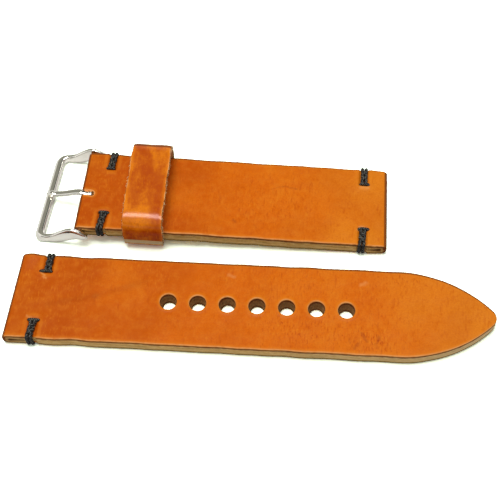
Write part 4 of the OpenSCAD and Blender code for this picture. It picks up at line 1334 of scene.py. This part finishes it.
def stitch_sheets(x, side, half, strap, sewing, lean, foot_shift, foot_length):
    """One edge stitch in a part's own lengths: two strands that cross twice on the top, and a
    short foot across their inner end whose ends dive into the needle holes. Lean is how far the
    stitch has moved along the strap where it meets the edge."""
    thread, radius = sewing.thread, 1.06 * sewing.thread / 2
    top = strap.thickness + radius - sewing.sink
    low = radius + THREAD_GAP
    outer = half + radius - sewing.sink
    turn = even_path(turn_path(sewing.inner, outer, low, top, radius + 0.1 * MM), THREAD_STEP)
    on_top = np.clip((turn[:, 1] - sewing.inner) / (outer - sewing.inner), 0, 1)
    level = (turn[:, 2] > (top + low) / 2)
    swap = np.where(level, 1 - 2 * smooth(on_top, 0.22, 0.44) + 2 * smooth(on_top, 0.56, 0.78), 1.0)
    meet = (bell(on_top - 0.33, 0.07) - bell(on_top - 0.67, 0.07)) * level
    sheets = []
    for strand in (1.0, -1.0):
        path = turn.copy()
        path[:, 0] = x + lean * on_top + strand * 0.56 * thread * swap
        path[:, 2] += np.where(strand * meet > 0, 0.34, 0.05) * MM * np.abs(meet)
        path[:, 1] *= side
        sheets.append(thread_sheet(path, ALONG_X, radius, 2.6 * MM))
    a = np.linspace(0, np.pi, 25)
    foot_half = foot_length / 2 - 0.45 * radius
    foot = np.stack([x + foot_shift - foot_half * np.cos(a), 0 * a + side * (sewing.inner - 0.12 * MM),
                     top + 0.10 * MM - 0.75 * MM * (1 - np.sin(a) ** 0.4)], -1)
    foot = even_path(foot, THREAD_STEP)
    sheets.append(thread_sheet(foot, ALONG_Y, 0.88 * radius, 1.7 * MM, closed=False))
    return sheets


def rounded_section(width, height, squareness, count):
    """A section between an ellipse and a box: cosine and sine raised to a power below one."""
    a = 2 * np.pi * (np.arange(count) + 0.5) / count
    u, v = np.cos(a), np.sin(a)
    shape = pairs(*(np.sign(w) * np.abs(w) ** squareness / 2 for w in (u, v)))
    return shape * pairs(width, height)[..., None, :]


def buckle_frame_rings(b, half):
    """The frame's sections from the near arm's rear round the outer bar to the far arm's rear.
    Arms rise over a hump near the bar, then run down to the outer bar, whose outer side spreads
    towards the table: a point moves out by the spread, times its share of the way out and down."""
    outer_from = b.reach - b.corner
    arm_y = half + b.arm_gap + b.arm / 2
    turn = np.linspace(math.radians(6), np.pi / 2, 12, endpoint=False)
    arm = np.linspace(0, outer_from, 60)
    bend = np.linspace(0, np.pi / 2, 17)[1:]
    bar_y = np.linspace(-arm_y + b.corner, 0, 31)[1:]
    on_arm = len(turn) + len(arm)
    x = np.concatenate([-b.arm_back * np.cos(turn), arm, outer_from + b.corner * np.sin(bend),
                        np.full(30, b.reach)])
    y = np.concatenate([np.full(on_arm, -arm_y), -arm_y + b.corner * (1 - np.cos(bend)), bar_y])
    heading = np.concatenate([np.full(on_arm, np.pi), np.pi - bend, np.full(30, np.pi / 2)])
    full = np.concatenate([np.sin(turn), np.ones(len(x) - len(turn))])
    x, y, full = (np.concatenate([v, w[-2::-1]]) for v, w in ((x, x), (y, -y), (full, full)))
    heading = np.concatenate([heading, np.pi - heading[-2::-1]])
    top = b.arm_top + (b.hump - b.arm_top) * smooth(x, -b.arm_back, b.hump_at) \
        - (b.hump + b.outer_drop - b.outer_height / 2) * smooth(x, b.hump_at - 0.5 * MM, outer_from + MM)
    low = -b.arm_low - (b.outer_drop + b.outer_height / 2 - b.arm_low) \
        * smooth(x, -0.5 * MM, outer_from - 1.5 * MM)
    corner = smooth(x, outer_from, b.reach)
    wide = (b.arm + (b.outer_width - b.arm) * corner) * (0.6 + 0.4 * full)
    high = (top - low) * full
    section = rounded_section(wide, high, 0.62, 36)
    outward = section[..., 0] + b.outer_spread * corner[:, None] \
        * (0.5 + section[..., 0] / wide[:, None]) * (0.5 - section[..., 1] / high[:, None])
    middle = (top + low) / 2
    return np.stack([-x[:, None] - outward * np.sin(heading)[:, None],
                     y[:, None] + outward * np.cos(heading)[:, None],
                     middle[:, None] + section[..., 1]], -1)


def tongue_rings(b):
    """The tongue's sections: a strip that starts under the bar, goes round it, leaves over its top,
    dips and runs down over the outer bar to a narrowed tip."""
    end = b.reach + b.outer_width / 2 + b.tip_over
    rest = -b.outer_drop + b.outer_height / 2 + b.rest_gap + b.tongue / 2
    ring_middle = b.bar / 2 + b.play + b.ring / 2
    start = b.bar / 2 + b.play + b.ring - b.tongue / 2
    x = np.linspace(0, end, 90)
    z = start + (rest - start) * smooth(x, -MM, b.reach + MM) \
        + 0.25 * MM * np.sin(2 * np.pi * x / b.reach) * smooth(x, 0, 2 * MM) \
        * (1 - smooth(x, b.reach - 2 * MM, b.reach)) \
        - 0.7 * MM * smooth(x, b.reach - b.outer_width / 2, end + MM)
    blade = np.stack([-x, 0 * x, z], -1)
    a = np.linspace(math.radians(-215), math.radians(90), 60, endpoint=False)
    ring = ring_middle * np.stack([np.cos(a), 0 * a, np.sin(a)], -1)
    path = np.concatenate([ring, blade])
    in_ring = np.concatenate([np.ones(len(ring)), 1 - smooth(x, 0, 2.5 * MM)])
    tip = np.concatenate([np.ones(len(ring)), 1 - 0.55 * smooth(x, end - 1.6 * MM, end)])
    narrowing = np.concatenate([np.ones(len(ring)), 1 - 0.14 * smooth(x, 2 * MM, end)])
    thick = (b.tongue + (b.ring - b.tongue) * in_ring) * tip
    section = rounded_section(b.tongue_width * tip * narrowing, thick, 0.8, 28)
    rings = rings_along(path, ALONG_Y, section)
    return rings @ rotation(Z, -b.tongue_turn).T - (0, b.tongue_near, 0)


class StrapOperator:
    """What the building operators share: they can be undone."""
    bl_options = {"REGISTER", "UNDO"}


class WATCHSTRAP_OT_tail_part(StrapOperator, bpy.types.Operator):
    """Build the holed tail part with its folded lug end"""
    bl_idname = "watch_strap.tail_part"
    bl_label = "Tail Part"

    def execute(self, context):
        strap, sewing, _, _, colours, _ = settings()
        places = Places()
        part = build_tail_part(strap, sewing, places)
        points = places.on_tail(part.points)
        part.values["tone"] = dye_tone(points, TAIL_TONES, 81)
        finished_piece("tail_leather", points, part.faces, part.values, strap_leather(colours),
                       "strap", ["long_strap"])
        return {"FINISHED"}


class WATCHSTRAP_OT_buckle_part(StrapOperator, bpy.types.Operator):
    """Build the buckle part, folded at both ends and slotted for the tongue"""
    bl_idname = "watch_strap.buckle_part"
    bl_label = "Buckle Part"

    def execute(self, context):
        strap, sewing, _, buckle, colours, _ = settings()
        places = Places()
        part = build_buckle_part(strap, sewing, buckle, places)
        points = places.on_buckle_part(part.points)
        part.values["tone"] = dye_tone(points, BUCKLE_PART_TONES, 82)
        finished_piece("buckle_part_leather", points, part.faces, part.values, strap_leather(colours),
                       "strap", ["short_strap"])
        return {"FINISHED"}


class WATCHSTRAP_OT_keeper(StrapOperator, bpy.types.Operator):
    """Build the leather keeper"""
    bl_idname = "watch_strap.keeper"
    bl_label = "Keeper"

    def execute(self, context):
        _, _, keeper, _, colours, _ = settings()
        places = Places()
        laid_piece("keeper_band", [keeper_sheet(keeper, places)], places.on_buckle_part,
                   keeper_leather(colours), "keeper", ["keeper"])
        return {"FINISHED"}


class WATCHSTRAP_OT_edge_stitches(StrapOperator, bpy.types.Operator):
    """Build the six stitches that wrap over the edges"""
    bl_idname = "watch_strap.edge_stitches"
    bl_label = "Edge Stitches"

    def execute(self, context):
        strap, sewing, _, _, colours, _ = settings()
        places = Places()
        spots = {"buckle": (places.short_length - sewing.buckle,) * 2, "short_lug": (sewing.lug,) * 2,
                 "long_lug": (sewing.tail_far, sewing.tail_near)}
        for node, (lean, shift, foot) in EDGE_STITCHES.items():
            group, side = node.removeprefix("stitch_").rsplit("_", 1)
            x = spots[group][0 if side == "far" else 1]
            lay, facing = (places.on_tail, 1) if group == "long_lug" else (places.on_buckle_part, -1)
            sheets = stitch_sheets(x, SIDES[side], places.width / 2, strap, sewing,
                                   facing * lean * MM, facing * shift * MM, foot * MM)
            laid_piece("thread_" + group + "_" + side, sheets, lay, thread_material(colours),
                       "strap", [node])
        return {"FINISHED"}


class WATCHSTRAP_OT_keeper_stitches(StrapOperator, bpy.types.Operator):
    """Build the two stitches that close the keeper underneath"""
    bl_idname = "watch_strap.keeper_stitches"
    bl_label = "Keeper Stitches"

    def execute(self, context):
        _, sewing, keeper, _, colours, _ = settings()
        places = Places()
        d, half = sewing.keeper_thread, sewing.keeper_length / 2
        low = -keeper.under_gap - keeper.lap + d / 2 + THREAD_GAP
        high = -keeper.under_gap - d / 2 - THREAD_GAP
        for side, out in (("left", KEEPER_STITCH_OUT), ("right", -KEEPER_STITCH_OUT)):
            turn = turn_path(-half, half, low, high, d / 2 + THREAD_GAP)
            path = even_path(turn, KEEPER_THREAD_STEP)
            path[:, 0] = places.short_length - keeper.from_fold + out
            node = "keeper_stitch_" + side
            laid_piece("thread_" + node, [thread_sheet(path, ALONG_X, d / 2, 1.2 * MM)],
                       places.on_buckle_part, thread_material(colours), "keeper", [node])
        return {"FINISHED"}


class WATCHSTRAP_OT_buckle(StrapOperator, bpy.types.Operator):
    """Build the buckle's frame, bar and tongue"""
    bl_idname = "watch_strap.buckle"
    bl_label = "Buckle"

    def execute(self, context):
        _, _, _, buckle, colours, _ = settings()
        places = Places()
        material = metal_material(colours)
        half = places.width / 2
        bar_half = half + buckle.arm_gap + buckle.seat
        bar_y = np.linspace(-bar_half, bar_half, 41)
        bar_path = np.stack([0 * bar_y, bar_y, 0 * bar_y], -1)
        swell = 1 - 0.12 * smooth(np.abs(bar_y), bar_half - 0.3 * MM, bar_half)
        circle = rounded_section(buckle.bar, buckle.bar, 1.0, 32)
        bar = rings_along(bar_path, ALONG_X, circle, scale=swell)
        for name, rings, body, node in (
                ("buckle_frame_polished", buckle_frame_rings(buckle, half), "buckle", "buckle_frame"),
                ("buckle_bar_polished", bar, "buckle", "buckle_bar"),
                ("buckle_tongue_polished", tongue_rings(buckle), "tongue", "buckle_tongue")):
            rings = capped(rings)
            sheet = Sheet(rings, grid_quads(*rings.shape[:2], wrap_columns=True))
            laid_piece(name, [sheet], places.on_buckle, material, body, [node],
                       crease=60.0)
        return {"FINISHED"}


class WATCHSTRAP_OT_fibres(StrapOperator, bpy.types.Operator):
    """Scatter loose fibres along the raw edges"""
    bl_idname = "watch_strap.fibres"
    bl_label = "Loose Fibres"

    def execute(self, context):
        strap, _, keeper, _, colours, _ = settings()
        places = Places()
        material = hair_material(colours)
        half, high = places.width / 2, strap.thickness
        draw = np.random.default_rng(71)
        count = 150
        x = draw.uniform(10 * MM, places.tail_length - strap.taper, count)
        side = np.sign(draw.uniform(-0.6, 0.4, count))
        z = draw.uniform(0.3, 0.75, count) * high
        roots = np.stack([x, side * (half - ROOT_DEPTH), z], -1)
        aims = np.stack([draw.normal(0, 0.5, count), 0.5 * side, draw.normal(-0.1, 0.3, count)], -1)
        tail = hair_sheet(roots, aims, draw.uniform(0.25, 0.6, count) * MM, 0.03 * MM, 72)
        laid_piece("tail_fibres", [tail], places.on_tail, material, "strap")
        count, tuft = 90, 26
        x = np.concatenate([draw.uniform(22 * MM, 57 * MM, count), draw.normal(51 * MM, 0.9 * MM, tuft)])
        side = np.concatenate([np.sign(draw.uniform(-0.6, 0.4, count)), np.full(tuft, -1.0)])
        z = np.concatenate([draw.uniform(0.2, 0.7, count) * high, draw.uniform(0.05, 0.2, tuft) * high])
        length = np.concatenate([draw.uniform(0.25, 0.6, count), draw.uniform(0.7, 1.5, tuft)]) * MM
        count += tuft
        roots = np.stack([x, side * (half - ROOT_DEPTH), z], -1)
        aims = np.stack([draw.normal(0, 0.5, count), 0.5 * side, draw.normal(-0.2, 0.3, count)], -1)
        short = hair_sheet(roots, aims, length, 0.035 * MM, 73)
        laid_piece("buckle_part_fibres", [short], places.on_buckle_part, material, "strap")
        line, out, thick = keeper_loop(keeper, places)
        picks = draw.integers(0, len(line), 520)
        picks = picks[line[picks, 1] > 0.5 * MM]
        count = len(picks)
        side = np.sign(draw.uniform(-0.25, 0.75, count))
        share = draw.uniform(0.3, 1.0, count) * thick[picks]
        yz = line[picks] + out[picks] * share[:, None]
        middle = places.short_length - keeper.from_fold
        roots = np.stack([middle - side * (keeper.width / 2 - 0.1 * MM), yz[:, 0], yz[:, 1]], -1)
        aims = np.stack([-0.6 * side, draw.normal(0, 0.5, count), draw.normal(0, 0.15, count)], -1)
        band = hair_sheet(roots, aims, draw.uniform(0.2, 0.55, count) * MM, 0.06 * MM, 74)
        laid_piece("keeper_fibres", [band], places.on_buckle_part, material, "keeper")
        return {"FINISHED"}


# The stage

def lay_table(stage):
    """A plain pale table that keeps the shadows. The camera sees it brighter than the light that it
    throws back and than it is in reflections."""
    w = Wiring("pale_table")
    w.use_shader("ShaderNodeBsdfDiffuse")
    to_camera = opaque([c * stage.floor_gain for c in stage.floor_seen])
    seen = w.node("LightPath", {}).outputs["Is Camera Ray"]
    mesh = bpy.data.meshes.new("table")
    corners = [(x * TABLE_REACH, y * TABLE_REACH, 0) for x, y in ((-1, -1), (1, -1), (1, 1), (-1, 1))]
    mesh.from_pydata(corners, [], [(0, 1, 2, 3)])
    mesh.materials.append(w.surface(Color=w.blend(seen, opaque(stage.floor), to_camera)))
    table = bpy.data.objects.new("table", mesh)
    table.location.z = -TABLE_DROP
    bpy.context.scene.collection.objects.link(table)


def light_surroundings(stage):
    """White surroundings: as bright as they are to the camera and in reflections, and at the ambient
    strength for the light that they throw."""
    world = bpy.data.worlds.new("surroundings")
    world.use_nodes = True
    bpy.context.scene.world = world
    nodes, links = world.node_tree.nodes, world.node_tree.links
    rays = nodes.new("ShaderNodeLightPath")
    seen = rays.outputs["Is Camera Ray"]
    for kind in ("Is Glossy Ray", "Is Transmission Ray"):
        either = nodes.new("ShaderNodeMath")
        either.operation = "MAXIMUM"
        links.new(seen, either.inputs[0])
        links.new(rays.outputs[kind], either.inputs[1])
        seen = either.outputs[0]
    level = nodes.new("ShaderNodeMapRange")
    level.inputs["To Min"].default_value = stage.ambient
    links.new(seen, level.inputs["Value"])
    links.new(level.outputs[0], nodes["Background"].inputs["Strength"])
    nodes["Background"].inputs["Color"].default_value = WHITE


def hang_softbox(stage):
    """The one lamp, a square panel that faces the object and that reflections don't show."""
    lamp = bpy.data.lights.new("softbox", "AREA")
    lamp.energy = stage.softbox
    lamp.shape = "SQUARE"
    lamp.size = stage.softbox_width
    box = bpy.data.objects.new("softbox", lamp)
    box.location = (-stage.softbox_left, stage.softbox_back, stage.softbox_height)
    box.rotation_euler = box.location.to_track_quat("Z", "Y").to_euler()
    box.visible_glossy = False
    bpy.context.scene.collection.objects.link(box)


def hang_card(name, turn, lift, wide, tall, bright):
    """A studio card that only reflections show: part of a sphere round the object, wide by tall as
    angles in degrees. It starts at +Y, is lifted about the X axis and turned about the Z axis. Cards
    dimmer than 1 are a little warm."""
    turn, lift, wide, tall = np.radians((turn, lift, wide, tall))
    across = np.linspace(-wide / 2, wide / 2, 25)[:, None]
    above = np.linspace(-tall / 2, tall / 2, 13)[None, :]
    points = CARD_DISTANCE * np.stack([-np.sin(across) * np.cos(above), np.cos(across) * np.cos(above),
                                       np.sin(above) + 0 * across], -1)
    points = points @ rotation(X, lift).T @ rotation(Z, turn).T
    mesh = bpy.data.meshes.new(name)
    mesh.from_pydata(points.reshape(-1, 3), [], grid_quads(25, 13).tolist())
    w = Wiring(name)
    w.use_shader("ShaderNodeEmission")
    mesh.materials.append(w.surface(Strength=bright, Color=DIM_TINT if bright < 1 else WHITE))
    card = bpy.data.objects.new(name, mesh)
    for ray in ("camera", "diffuse", "transmission", "volume_scatter", "shadow"):
        setattr(card, "visible_" + ray, False)
    bpy.context.scene.collection.objects.link(card)


def place_camera(stage):
    """The camera, which looks at its target from the azimuth and elevation and is rolled about its
    own axis."""
    a, e, roll = stage.azimuth, stage.elevation, stage.roll
    back = Vector((math.sin(a) * math.cos(e), -math.cos(a) * math.cos(e), math.sin(e)))
    right = (-back).cross(Vector((0, 0, 1))).normalized()
    up = right.cross(-back)
    axis_x = right * math.cos(roll) + up * math.sin(roll)
    axis_y = up * math.cos(roll) - right * math.sin(roll)
    turn = Matrix((axis_x, axis_y, back)).transposed().to_4x4()
    camera = bpy.data.objects.new("camera", bpy.data.cameras.new("camera"))
    camera.data.lens = stage.lens
    camera.data.sensor_width = 36.0
    camera.data.clip_start, camera.data.clip_end = 0.01, 20.0
    camera.matrix_world = Matrix.Translation(Vector(stage.target) + back * stage.distance) @ turn
    bpy.context.scene.collection.objects.link(camera)
    bpy.context.scene.camera = camera


class WATCHSTRAP_OT_stage(StrapOperator, bpy.types.Operator):
    """Build the table, the lamps, the surroundings and the camera"""
    bl_idname = "watch_strap.stage"
    bl_label = "Stage"

    def execute(self, context):
        stage = settings()[5]
        context.scene.view_settings.view_transform = "Standard"
        lay_table(stage)
        light_surroundings(stage)
        hang_softbox(stage)
        hang_card("overhead_panel", *OVERHEAD_PANEL, stage.panel)
        for name, card in DIM_CARDS.items():
            hang_card(name, *card)
        place_camera(stage)
        return {"FINISHED"}


class WATCHSTRAP_PT_panel(bpy.types.Panel):
    """Sizes, colours and building steps of the watch strap"""
    bl_idname = "WATCHSTRAP_PT_panel"
    bl_label = "Watch Strap"
    bl_space_type = "VIEW_3D"
    bl_region_type = "UI"
    bl_category = "Watch Strap"

    def draw(self, context):
        layout = self.layout
        for step in STEPS:
            layout.operator(step.bl_idname)
        titles = ("Leather", "Thread", "Keeper", "Buckle", "Colours", "Stage")
        for title, group in zip(titles, settings()):
            box = layout.box()
            box.label(text=title)
            for name in group.__annotations__:
                box.prop(group, name)


GROUPS = {"strap_sizes": StrapSizes, "thread_sizes": ThreadSizes, "keeper_sizes": KeeperSizes,
          "buckle_sizes": BuckleSizes, "strap_colours": StrapColours, "strap_stage": StageSettings}
STEPS = (WATCHSTRAP_OT_tail_part, WATCHSTRAP_OT_buckle_part, WATCHSTRAP_OT_keeper,
         WATCHSTRAP_OT_edge_stitches, WATCHSTRAP_OT_keeper_stitches, WATCHSTRAP_OT_buckle,
         WATCHSTRAP_OT_fibres, WATCHSTRAP_OT_stage)


def register():
    """Registers the classes and gives the scene its property groups."""
    for cls in (*GROUPS.values(), *STEPS, WATCHSTRAP_PT_panel):
        bpy.utils.register_class(cls)
    for name, group in GROUPS.items():
        setattr(bpy.types.Scene, name, PointerProperty(type=group))


def unregister():
    """Takes the property groups and the classes away again."""
    for name in GROUPS:
        delattr(bpy.types.Scene, name)
    for cls in reversed((*GROUPS.values(), *STEPS, WATCHSTRAP_PT_panel)):
        bpy.utils.unregister_class(cls)


def main():
    """Builds every piece and the stage."""
    register()
    bpy.ops.watch_strap.tail_part()
    bpy.ops.watch_strap.buckle_part()
    bpy.ops.watch_strap.keeper()
    bpy.ops.watch_strap.edge_stitches()
    bpy.ops.watch_strap.keeper_stitches()
    bpy.ops.watch_strap.buckle()
    bpy.ops.watch_strap.fibres()
    bpy.ops.watch_strap.stage()


if __name__ == "__main__":
    main()
